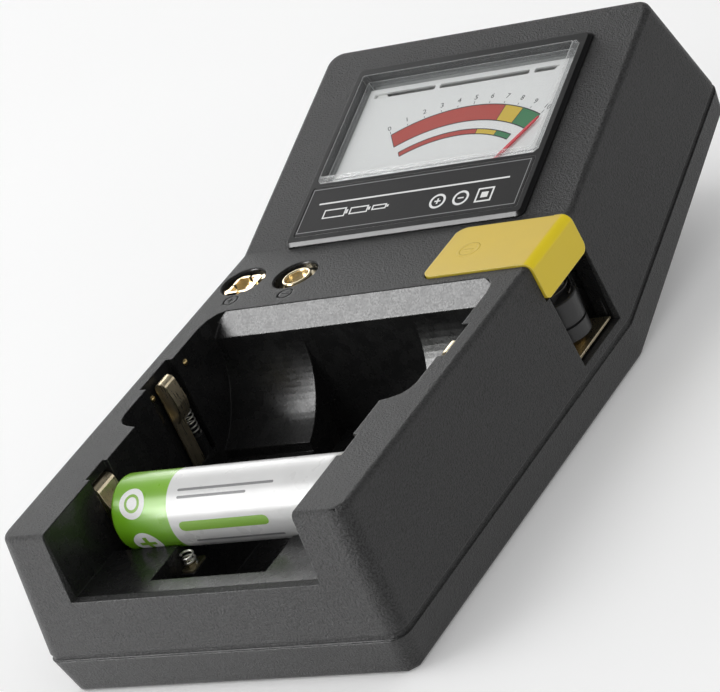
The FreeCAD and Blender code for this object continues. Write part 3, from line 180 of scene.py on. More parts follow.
def plastic(name, color, rough=0.45, var=0.10, grain=2600.0, grain_h=0.00003, bevel=0.0002, edge_highlight_col=None, edge_rough=None,
            spec=0.5, coat=0.0):
    g = Graph(name)
    bev = g.bevel(bevel)
    e = g.edge(bev)
    low = g.noise(90.0, 3.0)
    fine = g.noise(grain, 3.0, 0.6)
    vor = g.voronoi(grain * 0.55)
    h = g.math("ADD", fine, g.math("MULTIPLY", vor, 0.6))
    c0 = tuple(c * (1 - var) for c in color)
    c1 = tuple(min(1.0, c * (1 + var)) for c in color)
    col = g.mix(g.rng(low, 0.3, 0.7, 0.0, 1.0), c0, c1)
    col = g.mix(g.rng(fine, 0.35, 0.7, 0.0, 0.35), col, tuple(min(1.0, c * 1.25) for c in color))
    # painted highlight: edges are mixed towards a lighter colour, standing in for light caught on rounded edges
    if edge_highlight_col:
        col = g.mix(g.math("MULTIPLY", e, 0.7), col, edge_highlight_col)
    r = g.fmix(g.rng(low, 0.3, 0.7, 0.0, 1.0), rough * 0.92, min(1.0, rough * 1.08))
    if edge_rough is not None:
        r = g.fmix(e, r, edge_rough)
    nrm = g.bump(h, grain_h, bev)
    b = g.bsdf(Base_Color=col, Roughness=r, Normal=nrm, IOR=1.5)
    b.inputs["Specular IOR Level"].default_value = spec
    b.inputs["Coat Weight"].default_value = coat
    return g.done(b)


def metal(name, color, rough=0.25, aniso=None, scratch=900.0, bump=0.000004, bevel=0.0001, tarnish=0.25, dark=(0.05, 0.04, 0.03)):
    """Metal with fine scratches along one axis and light tarnish."""
    g = Graph(name)
    bev = g.bevel(bevel)
    mp = g.n("ShaderNodeMapping")
    g.link(g.co, mp.inputs["Vector"])
    mp.inputs["Scale"].default_value = {"x": (0.06, 1, 1), "y": (1, 0.06, 1), "z": (1, 1, 0.06), None: (1, 1, 1)}[aniso]
    scr = g.noise(scratch * 6, 3.0, 0.7, co=mp.outputs[0])
    spots = g.noise(450.0, 4.0, 0.65)
    t = g.rng(spots, 0.50, 0.78, 0.0, tarnish)
    col = g.mix(g.rng(scr, 0.3, 0.7, 0.0, 1.0), tuple(c * 0.90 for c in color), color)
    col = g.mix(t, col, tuple(c * 0.45 + d for c, d in zip(color, dark)))
    r = g.fmix(t, g.rng(scr, 0.3, 0.7, rough * 0.75, rough * 1.3), min(1.0, rough + 0.25))
    b = g.bsdf(Base_Color=col, Metallic=1.0, Roughness=r, Normal=g.bump(scr, bump, bev))
    return g.done(b)


# ------------------------------------------------------------------ case material
def case_material(name, lower=False):
    """Black moulded plastic: spark texture on the outside faces, smoother and glossier inside the bay, glossier edges
    lightened in colour as a painted highlight.
    """
    g = Graph(name)
    x, y, z = g.xyz()
    ax = g.math("ABSOLUTE", x)
    bev = g.bevel(0.00032, 6)
    e = g.edge(bev, 0.16)
    # 1 inside the bay and the button cell chamber
    if lower:
        inside = g.math("MULTIPLY", 0.0, 1.0)
    else:
        a = g.rng(ax, 0.0369, 0.0371, 1.0, 0.0)
        b_ = g.rng(z, 0.03372, 0.03380, 1.0, 0.0)
        c_ = g.rng(y, 0.00055, 0.00065, 0.0, 1.0)
        d_ = g.rng(y, 0.0946, 0.0950, 1.0, 0.0)
        inside = g.math("MULTIPLY", g.math("MULTIPLY", a, b_), g.math("MULTIPLY", c_, d_))
        # the slot of the button cell reaches the outer face
        sl = g.math("MULTIPLY", g.rng(x, 0.0236, 0.0238, 0.0, 1.0), g.math("MULTIPLY", g.rng(z, 0.0318, 0.0320, 1.0, 0.0), g.rng(y, 0.0764, 0.0765, 0.0, 1.0)))
        sl = g.math("MULTIPLY", sl, g.math("MULTIPLY", g.rng(y, 0.0927, 0.0929, 1.0, 0.0), g.rng(x, 0.0386, 0.0387, 1.0, 0.0)))
        inside = g.math("MAXIMUM", inside, sl)
    # leather-like spark erosion: rounded blobs of about half a millimetre
    v1 = g.voronoi(2300.0, "SMOOTH_F1")
    n1 = g.noise(3000.0, 2.5, 0.6)
    n2 = g.noise(6400.0, 2.0, 0.6)
    h_out = g.math("ADD", g.math("MULTIPLY", v1, 0.55), g.math("ADD", g.math("MULTIPLY", n1, 1.0), g.math("MULTIPLY", n2, 0.5)))
    h_in = g.math("MULTIPLY", g.noise(1400.0, 2.0), 0.05)
    flat = g.math("SUBTRACT", 1.0, g.math("MULTIPLY", e, 0.8))
    h = g.fmix(inside, g.math("MULTIPLY", h_out, flat), h_in)
    low = g.noise(60.0, 3.0)
    mid = g.noise(420.0, 3.0)
    out_col = g.mix(g.rng(low, 0.3, 0.7, 0.0, 1.0), (0.008, 0.008, 0.0082), (0.011, 0.011, 0.0112))
    out_col = g.mix(g.rng(n1, 0.42, 0.62, 0.0, 0.85), out_col, (0.034, 0.034, 0.0345))
    # painted highlight: outside edges mixed towards a lighter grey
    out_col = g.mix(g.math("MULTIPLY", e, 0.55), out_col, (0.022, 0.022, 0.0225))
    in_col = g.mix(g.rng(mid, 0.3, 0.7, 0.0, 1.0), (0.009, 0.009, 0.0092), (0.012, 0.012, 0.0122))
    # painted highlight: edges inside the bay mixed towards a lighter grey
    in_col = g.mix(g.math("MULTIPLY", e, 0.5), in_col, (0.02, 0.02, 0.02))
    col = g.mix(inside, out_col, in_col)
    r_out = g.fmix(e, g.rng(n1, 0.35, 0.65, 0.44, 0.66), 0.34)
    r_in = g.fmix(e, g.rng(mid, 0.3, 0.7, 0.24, 0.31), 0.22)
    r = g.fmix(inside, r_out, r_in)
    nrm = g.bump(h, 0.00030, bev)
    b = g.bsdf(Base_Color=col, Roughness=r, Normal=nrm, IOR=1.5)
    g.link(g.rng(n1, 0.38, 0.64, 0.36, 0.60), b.inputs["Specular IOR Level"])
    return g.done(b)


M = {}
M["case_upper"] = case_material("case_plastic_upper")
M["case_lower"] = case_material("case_plastic_lower", True)


def lever_mat():
    """Moulded lever: painted brighter yellow where it turns over the edge, a painted pale highlight on the rim, faint
    moulded ring on top.
    """
    g = Graph("lever_plastic")
    x, y, z = g.xyz()
    bev = g.bevel(0.0003, 6)
    e = g.edge(bev, 0.14)
    nx, ny, nz = g.xyz(g.geom("True Normal"))
    fold_painted_light = g.math("MULTIPLY", g.rng(nx, 0.03, 0.30, 0.0, 1.0, True), g.rng(nz, 0.16, 0.42, 0.0, 1.0, True))
    low = g.noise(110.0, 3.0)
    fine = g.noise(2100.0, 3.0, 0.6)
    col = g.mix(g.rng(low, 0.3, 0.7, 0.0, 1.0), (0.655, 0.470, 0.052), (0.700, 0.505, 0.066))
    side = g.rng(nz, 0.15, 0.45, 1.0, 0.0)
    col = g.mix(side, col, (0.660, 0.500, 0.034))
    # painted light: faces turning over the edge get a brighter, more saturated yellow
    col = g.mix(fold_painted_light, col, (0.770, 0.590, 0.004))
    # painted highlight: a pale yellow along the edges
    col = g.mix(g.math("MULTIPLY", e, 0.75), col, (0.86, 0.72, 0.17))
    dx, dy = g.math("SUBTRACT", x, 0.0212), g.math("SUBTRACT", y, 0.0838)
    rad = g.math("SQRT", g.math("ADD", g.math("MULTIPLY", dx, dx), g.math("MULTIPLY", dy, dy)))
    ring = g.rng(g.math("ABSOLUTE", g.math("SUBTRACT", rad, 0.0021)), 0.00016, 0.00034, 1.0, 0.0, True)
    bar = g.math("MULTIPLY", g.rng(g.math("ABSOLUTE", dy), 0.00015, 0.00032, 1.0, 0.0, True), g.rng(g.math("ABSOLUTE", dx), 0.0009, 0.0011, 1.0, 0.0, True))
    up = g.rng(nz, 0.9, 0.98, 0.0, 1.0)
    h = g.math("ADD", g.math("MULTIPLY", fine, 0.08), g.math("MULTIPLY", up, g.math("MAXIMUM", ring, bar)))
    r = g.fmix(e, g.rng(low, 0.3, 0.7, 0.44, 0.54), 0.3)
    k = g.bsdf(Base_Color=col, Roughness=r, Normal=g.bump(h, 0.00016, bev), IOR=1.5)
    k.inputs["Specular IOR Level"].default_value = 0.3
    return g.done(k)


M["yellow"] = lever_mat()
# plunger and frame: the edge colour passed here is a painted highlight along their edges
M["plunger"] = plastic("plunger_plastic", (0.016, 0.016, 0.0165), rough=0.42, var=0.25, grain=900.0, grain_h=0.00006, bevel=0.0003, edge_highlight_col=(0.05, 0.05, 0.05))
M["stem"] = plastic("stem_plastic", (0.010, 0.010, 0.011), rough=0.45, grain=1500.0, grain_h=0.00001)
M["frame"] = plastic("frame_plastic", (0.0055, 0.0055, 0.006), rough=0.30, var=0.15, grain=1800.0, grain_h=0.000008, bevel=0.0002, edge_highlight_col=(0.02, 0.02, 0.021), spec=0.34)
M["label"] = plastic("label_plastic", (0.0060, 0.0060, 0.0066), rough=0.40, var=0.15, grain=2400.0, grain_h=0.000008, bevel=0.0001, spec=0.26)
M["meter_white"] = plastic("meter_plastic", (0.74, 0.74, 0.725), rough=0.45, var=0.03, grain=1200.0, grain_h=0.00001, bevel=0.0002)
M["dial"] = plastic("dial_paint", (0.76, 0.76, 0.755), rough=0.6, var=0.015, grain=3000.0, grain_h=0.000004, bevel=0.0001)
M["carrier"] = plastic("carrier_plastic", (0.035, 0.035, 0.036), rough=0.5, grain=1500.0, grain_h=0.00002)
M["brass"] = metal("brass_turned", (0.80, 0.60, 0.28), 0.24, "z", 700.0)
M["bronze"] = metal("bronze_strip", (0.72, 0.50, 0.25), 0.26, "x")
M["nickel"] = metal("nickel_brass", (0.83, 0.72, 0.50), 0.18, None, 600.0, tarnish=0.45, dark=(0.02, 0.01, 0.0))
M["strip"] = metal("contact_strip", (0.92, 0.80, 0.56), 0.30, "z", 500.0, tarnish=0.35, dark=(0.05, 0.035, 0.015))
M["spring"] = metal("spring_wire", (0.95, 0.93, 0.88), 0.34, None, 400.0, tarnish=0.12)
# painted shade: the return spring's wire is near-black so the coil reads as the shaded gap under the lever
M["spring_painted_shade"] = metal("spring_wire_painted_shade", (0.055, 0.052, 0.05), 0.32, None, 400.0, tarnish=0.2)
M["steel"] = metal("steel_plain", (0.60, 0.60, 0.61), 0.32, "y")
M["screw"] = metal("screw_zinc", (0.66, 0.67, 0.68), 0.28, None, 500.0)
M["aluminium"] = metal("aluminium_pressed", (0.80, 0.81, 0.82), 0.30, "x")
M["copper"] = metal("winding_copper", (0.72, 0.33, 0.15), 0.30, "y", 1800.0, bump=0.00002)
M["magnet"] = plastic("magnet_sintered", (0.10, 0.10, 0.105), rough=0.5, grain=3500.0, grain_h=0.00002)
M["can"] = metal("cell_can_metal", (0.74, 0.74, 0.73), 0.22, None)
M["cap"] = metal("cell_cap_metal", (0.86, 0.85, 0.82), 0.14, None, tarnish=0.1)
M["seal"] = plastic("cell_seal_board", (0.60, 0.57, 0.50), rough=0.8, grain=2500.0, grain_h=0.00003)


def wire_mat(name, color):
    return plastic(name, color, rough=0.42, var=0.06, grain=1400.0, grain_h=0.00001)


M["wire_red"] = wire_mat("wire_red_cover", (0.50, 0.02, 0.015))
M["wire_black"] = wire_mat("wire_black_cover", (0.018, 0.018, 0.018))
M["wire_blue"] = wire_mat("wire_blue_cover", (0.02, 0.06, 0.32))
M["trimmer"] = plastic("trimmer_plastic", (0.03, 0.10, 0.36), rough=0.3, grain=1500.0, grain_h=0.00001)


def board_mat():
    """Solder resist with copper tracks underneath and rows of pads."""
    g = Graph("board_laminate")
    x, y, z = g.xyz()
    b = g.n("ShaderNodeTexBrick")
    g.link(g.co, b.inputs["Vector"])
    b.inputs["Scale"].default_value = 300.0
    b.inputs["Mortar Size"].default_value = 0.06
    tr = b.outputs["Fac"]
    weave = g.noise(1600.0, 1.0)
    col = g.mix(tr, (0.012, 0.115, 0.05), (0.05, 0.22, 0.10))
    col = g.mix(g.rng(weave, 0.4, 0.6, 0.0, 0.3), col, (0.03, 0.17, 0.08))
    k = g.bsdf(Base_Color=col, Roughness=0.28, Normal=g.bump(tr, 0.00003, g.bevel(0.0001)))
    return g.done(k)


def resistor_mat(name, body, bands, x0, pitch):
    """Coloured bands across a lacquered body, repeated along X."""
    g = Graph(name)
    x, y, z = g.xyz()
    f = g.math("SUBTRACT", x, x0)
    col = g.mix(g.rng(g.noise(900.0), 0.3, 0.7, 0.0, 1.0), tuple(c * 0.93 for c in body), body)
    for at, c in bands:
        d = g.math("ABSOLUTE", g.math("SUBTRACT", f, at * MM))
        col = g.mix(g.rng(d, 0.00032, 0.00038, 1.0, 0.0), col, c)
    wire = g.rng(g.math("ABSOLUTE", f), pitch * MM, (pitch + 0.05) * MM, 0.0, 1.0)
    col = g.mix(wire, col, (0.62, 0.61, 0.58))
    k = g.bsdf(Base_Color=col, Metallic=wire, Roughness=g.fmix(wire, 0.35, 0.25), Normal=g.bump(g.noise(1500.0), 0.00001, g.bevel(0.0002)))
    return g.done(k)


M["board"] = board_mat()
M["res_small"] = resistor_mat("resistor_lacquer", (0.58, 0.46, 0.27), [(-2.3, (0.25, 0.09, 0.02)), (-1.2, (0.02, 0.02, 0.02)), (0.0, (0.55, 0.03, 0.02)), (2.2, (0.60, 0.42, 0.08))], -0.006, 3.1)
M["res_large"] = resistor_mat("resistor_cement", (0.30, 0.38, 0.38), [(-4.2, (0.30, 0.10, 0.02)), (-2.4, (0.02, 0.12, 0.03)), (-0.6, (0.02, 0.02, 0.02)), (3.6, (0.60, 0.42, 0.08))], 0.0086, 6.0)


def sleeve_mat():
    """Printed shrink sleeve: lime band at one end, painted shading from darker to lighter around the cell, white body,
    faint shrink ripples.
    """
    g = Graph("cell_sleeve_print")
    x, y, z = g.xyz()
    band = g.rng(x, -0.01165, -0.01150, 1.0, 0.0)
    ang = g.math("ARCTAN2", g.math("SUBTRACT", y, 0.0206), g.math("SUBTRACT", z, 0.0241))
    # painted shading: the green goes from darker to lighter with the angle around the cell and along it
    green_painted_shading = g.rng(g.math("ADD", g.math("MULTIPLY", x, 55.0), g.math("MULTIPLY", ang, 0.55)), -2.6, -0.2, 0.0, 1.0, True)
    green = g.mix(green_painted_shading, (0.135, 0.365, 0.006), (0.225, 0.48, 0.030))
    white = g.mix(g.rng(g.noise(220.0), 0.3, 0.7, 0.0, 1.0), (0.66, 0.66, 0.655), (0.70, 0.70, 0.695))
    col = g.mix(band, white, green)
    rip = g.noise(260.0, 2.0)
    bev = g.bevel(0.0002)
    k = g.bsdf(Base_Color=col, Roughness=g.rng(rip, 0.3, 0.7, 0.26, 0.36), Normal=g.bump(rip, 0.00002, bev), IOR=1.46)
    k.inputs["Coat Weight"].default_value = 0.15
    k.inputs["Coat Roughness"].default_value = 0.20
    return g.done(k)


M["sleeve"] = sleeve_mat()


def ink(name, color, rough=0.5):
    g = Graph(name)
    s = g.noise(3500.0, 2.0)
    col = g.mix(g.rng(s, 0.35, 0.65, 0.0, 1.0), tuple(c * 0.93 for c in color), color)
    k = g.bsdf(Base_Color=col, Roughness=g.rng(s, 0.3, 0.7, rough * 0.9, min(1.0, rough * 1.1)), Normal=g.bump(s, 0.000003))
    return g.done(k)


M["ink_white"] = ink("ink_white", (0.80, 0.80, 0.80))
M["ink_pale"] = ink("ink_pale_grey", (0.22, 0.22, 0.225))
M["ink_dark"] = ink("ink_dark", (0.020, 0.022, 0.026))
M["ink_red"] = ink("ink_red", (0.47, 0.050, 0.034))
M["ink_yellow"] = ink("ink_yellow", (0.66, 0.46, 0.030))
M["ink_green"] = ink("ink_green", (0.030, 0.20, 0.075))
M["ink_lime"] = ink("ink_lime", (0.20, 0.42, 0.018))
M["ink_grey"] = ink("ink_grey", (0.20, 0.20, 0.205))
M["pointer"] = ink("pointer_paint", (0.72, 0.055, 0.075), 0.4)


def lens_mat():
    """Clear acrylic; walls and rims get a matt pale grey share, painted light for the dial seen through them, and edges
    a painted white highlight. Shadow and scattered rays pass the face and are dimmed by the walls.
    """
    g = Graph("lens_acrylic")
    s = g.noise(300.0, 2.0)
    bev = g.bevel(0.00012, 4)
    nb = g.bump(s, 0.0000015, bev)
    d = g.n("ShaderNodeVectorMath", operation="DOT_PRODUCT")
    g.link(g.geom("True Normal"), d.inputs[0])
    d.inputs[1].default_value = tuple(NRM)
    wall = g.rng(g.math("ABSOLUTE", d.outputs["Value"]), 0.30, 0.55, 1.0, 0.0)
    rim = g.math("SUBTRACT", g.rng(g.math("ABSOLUTE", d.outputs["Value"]), 0.75, 0.95, 1.0, 0.0), wall)
    e = g.edge(g.bevel(0.00030, 6), 0.06)
    front = g.math("SUBTRACT", 1.0, g.geom("Backfacing"))
    # painted light: matt share on walls and rims for the dial seen through them, and on front edges for a painted white
    # highlight
    painted_light_share = g.math("MAXIMUM", g.math("ADD", g.math("MULTIPLY", wall, 0.26), g.math("MULTIPLY", rim, 0.24)), g.math("MULTIPLY", g.math("MULTIPLY", e, front), 0.80))
    # straight see-through with a surface reflection: no light bending, so the walls stay calm
    tr = g.n("ShaderNodeBsdfTransparent")
    g.link(g.mix(wall, (0.97, 0.975, 0.975), (0.74, 0.75, 0.755)), tr.inputs[0])
    gs = g.n("ShaderNodeBsdfGlossy")
    gs.inputs["Roughness"].default_value = 0.05
    gs.inputs["Color"].default_value = (1, 1, 1, 1)
    g.link(nb, gs.inputs["Normal"])
    fr = g.n("ShaderNodeFresnel")
    fr.inputs["IOR"].default_value = 1.49
    g.link(nb, fr.inputs["Normal"])
    glass = g.n("ShaderNodeMixShader")
    share = g.math("SUBTRACT", g.fmix(wall, 0.34, 0.45), g.math("MULTIPLY", rim, 0.20))
    g.link(g.math("MULTIPLY", g.math("MULTIPLY", fr.outputs[0], share), front), glass.inputs[0])
    g.link(tr.outputs[0], glass.inputs[1])
    g.link(gs.outputs[0], glass.inputs[2])
    # painted light: pale grey matt colour for the walls, white on the edges as a painted highlight
    df = g.bsdf(Base_Color=g.mix(e, g.mix(g.rng(s, 0.3, 0.7, 0.0, 1.0), (0.50, 0.51, 0.515), (0.62, 0.63, 0.635)), (0.93, 0.94, 0.94)), Roughness=0.45, Normal=bev, IOR=1.3)
    w1 = g.n("ShaderNodeMixShader")
    g.link(painted_light_share, w1.inputs[0])
    g.link(glass.outputs[0], w1.inputs[1])
    g.link(df.outputs[0], w1.inputs[2])
    tr2 = g.n("ShaderNodeBsdfTransparent")
    g.link(g.mix(wall, (0.97, 0.975, 0.975), (0.50, 0.51, 0.51)), tr2.inputs[0])
    lp = g.n("ShaderNodeLightPath")
    f = g.math("MAXIMUM", lp.outputs["Is Shadow Ray"], lp.outputs["Is Diffuse Ray"])
    mx = g.n("ShaderNodeMixShader")
    g.link(f, mx.inputs[0])
    g.link(w1.outputs[0], mx.inputs[1])
    g.link(tr2.outputs[0], mx.inputs[2])
    return g.done(mx)


M["lens"] = lens_mat()

NODE_MAT = {
    "upper_case": "case_upper", "lower_case": "case_lower", "clamp_lever": "yellow", "clamp_stem": "stem", "plunger": "plunger", "plunger_tip": "brass",
    "display_frame": "frame", "label_plate": "label", "meter_lens": "lens", "meter_base": "meter_white", "dial_plate": "dial",
    "pointer": "pointer", "balance_weight": "brass", "coil_former": "aluminium", "coil_winding": "copper", "pivot_staffs": "steel",
    "hairspring_upper": "bronze", "hairspring_lower": "bronze", "upper_bridge": "aluminium", "movement_frame": "aluminium",
    "magnet_yoke": "steel", "core_magnet": "magnet", "core_carrier": "brass", "jewel_screws": "brass", "bridge_screws": "screw",
    "dial_screws": "screw", "meter_screws": "screw", "board_screws": "screw", "case_screws": "screw", "circuit_board": "board",
    "range_resistors": "res_small", "load_resistors": "res_large", "trimmer_body": "trimmer", "trimmer_rotor": "brass",
    "clip_carrier": "carrier", "snap_socket": "nickel", "snap_stud": "nickel", "leaf_front_left": "strip", "leaf_front_right": "strip",
    "leaf_rear_left": "strip", "leaf_rear_right": "strip", "wall_springs": "spring", "channel_spring": "spring", "contact_rivets": "brass",
    "channel_strip": "strip", "lever_spring": "spring_painted_shade", "button_plate": "strip", "wire_positive": "wire_red", "wire_negative": "wire_black",
    "wire_plate": "wire_blue", "cell_sleeve": "sleeve", "cell_can": "can", "cell_cap": "cap", "cell_washer": "seal",
}
for name, ob in NODES.items():
    ob.data.materials.clear()
    ob.data.materials.append(M[NODE_MAT[name]])


# ------------------------------------------------------------------ return spring of the lever
# A coil of its own, with a mesh of its own, on the case body.
src = NODES["lever_spring"]
coil = bpy.data.objects.new("return_coil", src.data.copy())
COL.objects.link(coil)
bpy.context.view_layer.update()
coil.matrix_world = src.matrix_world.copy()
bpy.context.view_layer.update()
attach(coil, "case")
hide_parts("lever_spring")
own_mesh(coil)

# ------------------------------------------------------------------ printed marks as thin raised film
def film(name, patches, place, body, mat, e0=0.0, e1=0.012):
    """Each patch is (function of s, t in 0..1 giving u, v; steps; steps). place(u, v, h) gives the point."""
    bm = bmesh.new()
    for fn, ns, nt in patches:
        top = [[bm.verts.new(place(*fn(i / ns, j / nt), e1)) for j in range(nt + 1)] for i in range(ns + 1)]
        bot = [[bm.verts.new(place(*fn(i / ns, j / nt), e0)) for j in range(nt + 1)] for i in range(ns + 1)]
        for i in range(ns):
            for j in range(nt):
                bm.faces.new((top[i][j], top[i + 1][j], top[i + 1][j + 1], top[i][j + 1]))
                bm.faces.new((bot[i][j], bot[i][j + 1], bot[i + 1][j + 1], bot[i + 1][j]))
        rim = [(i, 0) for i in range(ns)] + [(ns, j) for j in range(nt)] + [(i, nt) for i in range(ns, 0, -1)] + [(0, j) for j in range(nt, 0, -1)]
        for a, b in zip(rim, rim[1:] + rim[:1]):
            bm.faces.new((top[a[0]][a[1]], bot[a[0]][a[1]], bot[b[0]][b[1]], top[b[0]][b[1]]))
    bmesh.ops.remove_doubles(bm, verts=bm.verts, dist=1e-9)
    bmesh.ops.dissolve_degenerate(bm, dist=1e-9, edges=bm.edges)
    bmesh.ops.recalc_face_normals(bm, faces=bm.faces)
    me = bpy.data.meshes.new(name)
    bm.to_mesh(me)
    bm.free()
    ob = bpy.data.objects.new(name, me)
    COL.objects.link(ob)
    me.materials.append(M[mat])
    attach(ob, body)
    return ob


def rect(u0, u1, v0, v1, nu=1, nv=1):
    return (lambda s, t: (u0 + (u1 - u0) * s, v0 + (v1 - v0) * t), nu, nv)


def frame_rects(u0, u1, v0, v1, w, n=1):
    return [rect(u0, u1, v0, v0 + w, n, 1), rect(u0, u1, v1 - w, v1, n, 1), rect(u0, u0 + w, v0 + w, v1 - w, 1, n), rect(u1 - w, u1, v0 + w, v1 - w, 1, n)]


def ring_patch(cu, cv, r0, r1, a0=0.0, a1=360.0, n=40):
    return (lambda s, t: (cu + (r0 + (r1 - r0) * t) * math.cos(math.radians(a0 + (a1 - a0) * s)),
                          cv + (r0 + (r1 - r0) * t) * math.sin(math.radians(a0 + (a1 - a0) * s))), n, 1)


def disc_patch(cu, cv, r, n=12):
    """Disc as a squared grid, so that it follows a curved surface."""
    def fn(s, t):
        a, b = 2 * s - 1, 2 * t - 1
        return cu + r * a * math.sqrt(1 - b * b / 2), cv + r * b * math.sqrt(1 - a * a / 2)
    return (fn, n, n)


def bar_patch(u0, u1, v0, v1, n=1, m=1):
    """Bar with rounded ends."""
    r = (v1 - v0) / 2
    def fn(s, t):
        b = 2 * t - 1
        k = r * math.sqrt(max(0.0, 1 - b * b)) - r
        return (u0 - k) + ((u1 + k) - (u0 - k)) * s, v0 + (v1 - v0) * t
    return (fn, n, max(m, 8))


# dial: display coordinates, polar about the pivot (angle from the slope direction, positive to the right)
DIAL_H = -1.2


def on_dial(u, v, h):
    return dp(u, v, DIAL_H + h)


A0 = (3.76, -2.76)


def hit(a, r, centre=PIV, eye=A0):
    """Point at radius r about the pivot, on the ray at angle a from the eye point."""
    ca, sa = math.cos(math.radians(a)), math.sin(math.radians(a))
    dx, dy = eye[0] - centre[0], eye[1] - centre[1]
    b = dx * sa + dy * ca
    k = -b + math.sqrt(b * b - (dx * dx + dy * dy - r * r))
    return eye[0] + k * sa, eye[1] + k * ca


def arc_band(a0, a1, r0, r1, n=24):
    return (lambda s, t: hit(a0 + (a1 - a0) * s, r0 + (r1 - r0) * t), n, 1)


B0, B1, S0, S1 = 30.0, 34.1, 26.4, 27.7
film("dial_band_low", [arc_band(-29.9, 13.0, B0, B1, 40), arc_band(-28.7, 6.5, S0, S1, 36)], on_dial, "case", "ink_red")
film("dial_band_mid", [arc_band(13.0, 20.9, B0, B1, 10), arc_band(6.5, 16.5, S0, S1, 10)], on_dial, "case", "ink_yellow")
film("dial_band_high", [arc_band(20.9, 29.6, B0, B1, 10), arc_band(16.5, 24.7, S0, S1, 10)], on_dial, "case", "ink_green")
LW = 0.24
ol = []
for r0, r1, a0, a1 in ((B0, B1, -29.9, 29.6), (S0, S1, -28.7, 24.7)):
    ol += [arc_band(a0, a1, r0 - LW / 2, r0 + LW / 2, 60), arc_band(a0, a1, r1 - LW / 2, r1 + LW / 2, 60)]
for a, r0, r1 in ((-29.9, B0, B1), (13.0, B0, B1), (20.9, B0, B1), (29.6, B0, B1), (-28.7, S0, S1), (6.5, S0, S1), (16.5, S0, S1), (24.7, S0, S1)):
    ol.append(arc_band(a - 0.13, a + 0.13, r0, r1, 1))
film("dial_outlines", ol, on_dial, "case", "ink_dark", 0.013, 0.02)
film("dial_ticks", [arc_band(-29.9 + 5.95 * i - 0.10, -29.9 + 5.95 * i + 0.10, B1 + 0.35, B1 + (1.15 if i % 5 == 0 else 0.8), 1) for i in range(11)],
     on_dial, "case", "ink_dark")


def digits(name, items, size, mat, body):
    """Plain numbers laid on the dial, turned to follow the scale."""
    objs = []
    for txt, u, v, ang in items:
        cu = bpy.data.curves.new("tmp_num", "FONT")
        cu.body = txt
        cu.align_x = "CENTER"
        cu.align_y = "CENTER"
        cu.size = size * MM
        cu.extrude = 0.006 * MM
        cu.resolution_u = 3
        ob = bpy.data.objects.new("tmp_num", cu)
        COL.objects.link(ob)
        ex = Vector((1, 0, 0))
        c, s = math.cos(math.radians(-ang)), math.sin(math.radians(-ang))
        ux = ex * c + ALG * s
        uy = ALG * c - ex * s
        mt = Matrix((ux, uy, NRM)).transposed().to_4x4()
        mt.translation = dp(u, v, DIAL_H + 0.008)
        bpy.context.view_layer.update()
        me = bpy.data.meshes.new_from_object(ob)
        me.transform(mt)
        bpy.data.objects.remove(ob)
        objs.append(me)
    bm = bmesh.new()
    for me in objs:
        bm.from_mesh(me)
        bpy.data.meshes.remove(me)
    bmesh.ops.remove_doubles(bm, verts=bm.verts, dist=2e-7)
    me = bpy.data.meshes.new(name)
    bm.to_mesh(me)
    bm.free()
    ob = bpy.data.objects.new(name, me)
    COL.objects.link(ob)
    me.materials.append(M[mat])
    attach(ob, body)
    return ob


nums = []
for i in range(0, 11):
    a = -29.9 + 5.95 * i
    u, v = hit(a, B1 + 2.15)
    if u < 23.4:
        nums.append((str(i), u, v, a))
digits("dial_numbers", nums, 1.75, "ink_dark", "case")

# label plate: thin pale outline, one bright rule, plain pictograms
LAB_H = 0.98


def on_label(u, v, h):
    return dp(u, v, LAB_H + h)


film("label_outline", frame_rects(-26.0, 25.6, 2.75, 14.2, 0.20), on_label, "case", "ink_pale", 0.0, 0.012)
film("label_rule", [rect(-23.1, 22.0, 9.85, 10.25)], on_label, "case", "ink_white", 0.0, 0.014)
marks = []
# three plain cell outlines, large to small
for u0, w, hgt in ((-21.0, 5.4, 2.3), (-14.6, 4.4, 1.8), (-9.2, 3.4, 1.3)):
    v0 = 7.1 - hgt / 2
    marks += frame_rects(u0, u0 + w, v0, v0 + hgt, 0.30)
    marks.append(rect(u0 + w + 0.06, u0 + w + 0.55, 7.1 - hgt * 0.22, 7.1 + hgt * 0.22))
film("label_cells", marks, on_label, "case", "ink_white", 0.0, 0.014)
marks = [ring_patch(6.6, 6.3, 1.35, 1.85), rect(5.9, 7.3, 6.13, 6.47), rect(6.43, 6.77, 5.6, 6.13), rect(6.43, 6.77, 6.47, 7.0),
         ring_patch(12.0, 6.3, 1.35, 1.85), rect(11.3, 12.7, 6.13, 6.47)]
marks += frame_rects(15.6, 19.4, 4.5, 8.1, 0.38) + [rect(16.7, 18.3, 5.6, 7.0)]
film("label_signs", marks, on_label, "case", "ink_white", 0.0, 0.014)

# cell on test: printed marks on the sleeve (u along the cell, v around it from the top, mm)
CY, CZ, CR = 20.6, 24.1, 7.1


def on_cell(u, v, h):
    a = v / CR
    r = CR + h
    return Vector((u, CY - r * math.sin(a), CZ + r * math.cos(a))) * MM


E0, E1 = -0.02, 0.012
film("cell_discs", [disc_patch(-19.6, 5.6, 2.9, 16), disc_patch(-18.9, 14.2, 2.9, 16)], on_cell, "test_cell", "ink_white", E0, E1)
film("cell_plus", [rect(-20.7, -17.1, 13.75, 14.65, 4, 4), rect(-19.35, -18.45, 12.4, 13.75, 2, 4), rect(-19.35, -18.45, 14.65, 16.0, 2, 4)],
     on_cell, "test_cell", "ink_lime", E1, 0.03)
film("cell_spot", [ring_patch(-19.6, 5.6, 1.2, 1.75, n=32)], on_cell, "test_cell", "ink_lime", E1, 0.03)
film("cell_stripe", [bar_patch(-9.6, 10.5, 9.7, 11.7, 6, 10)], on_cell, "test_cell", "ink_lime", E0, E1)
film("cell_rules", [bar_patch(-9.2, 12.5, 3.6, 4.1, 6, 8), bar_patch(-9.2, 6.5, 5.0, 5.5, 6, 8), bar_patch(-8.0, 12.0, 14.2, 14.8, 6, 8)],
     on_cell, "test_cell", "ink_grey", E0, E1)

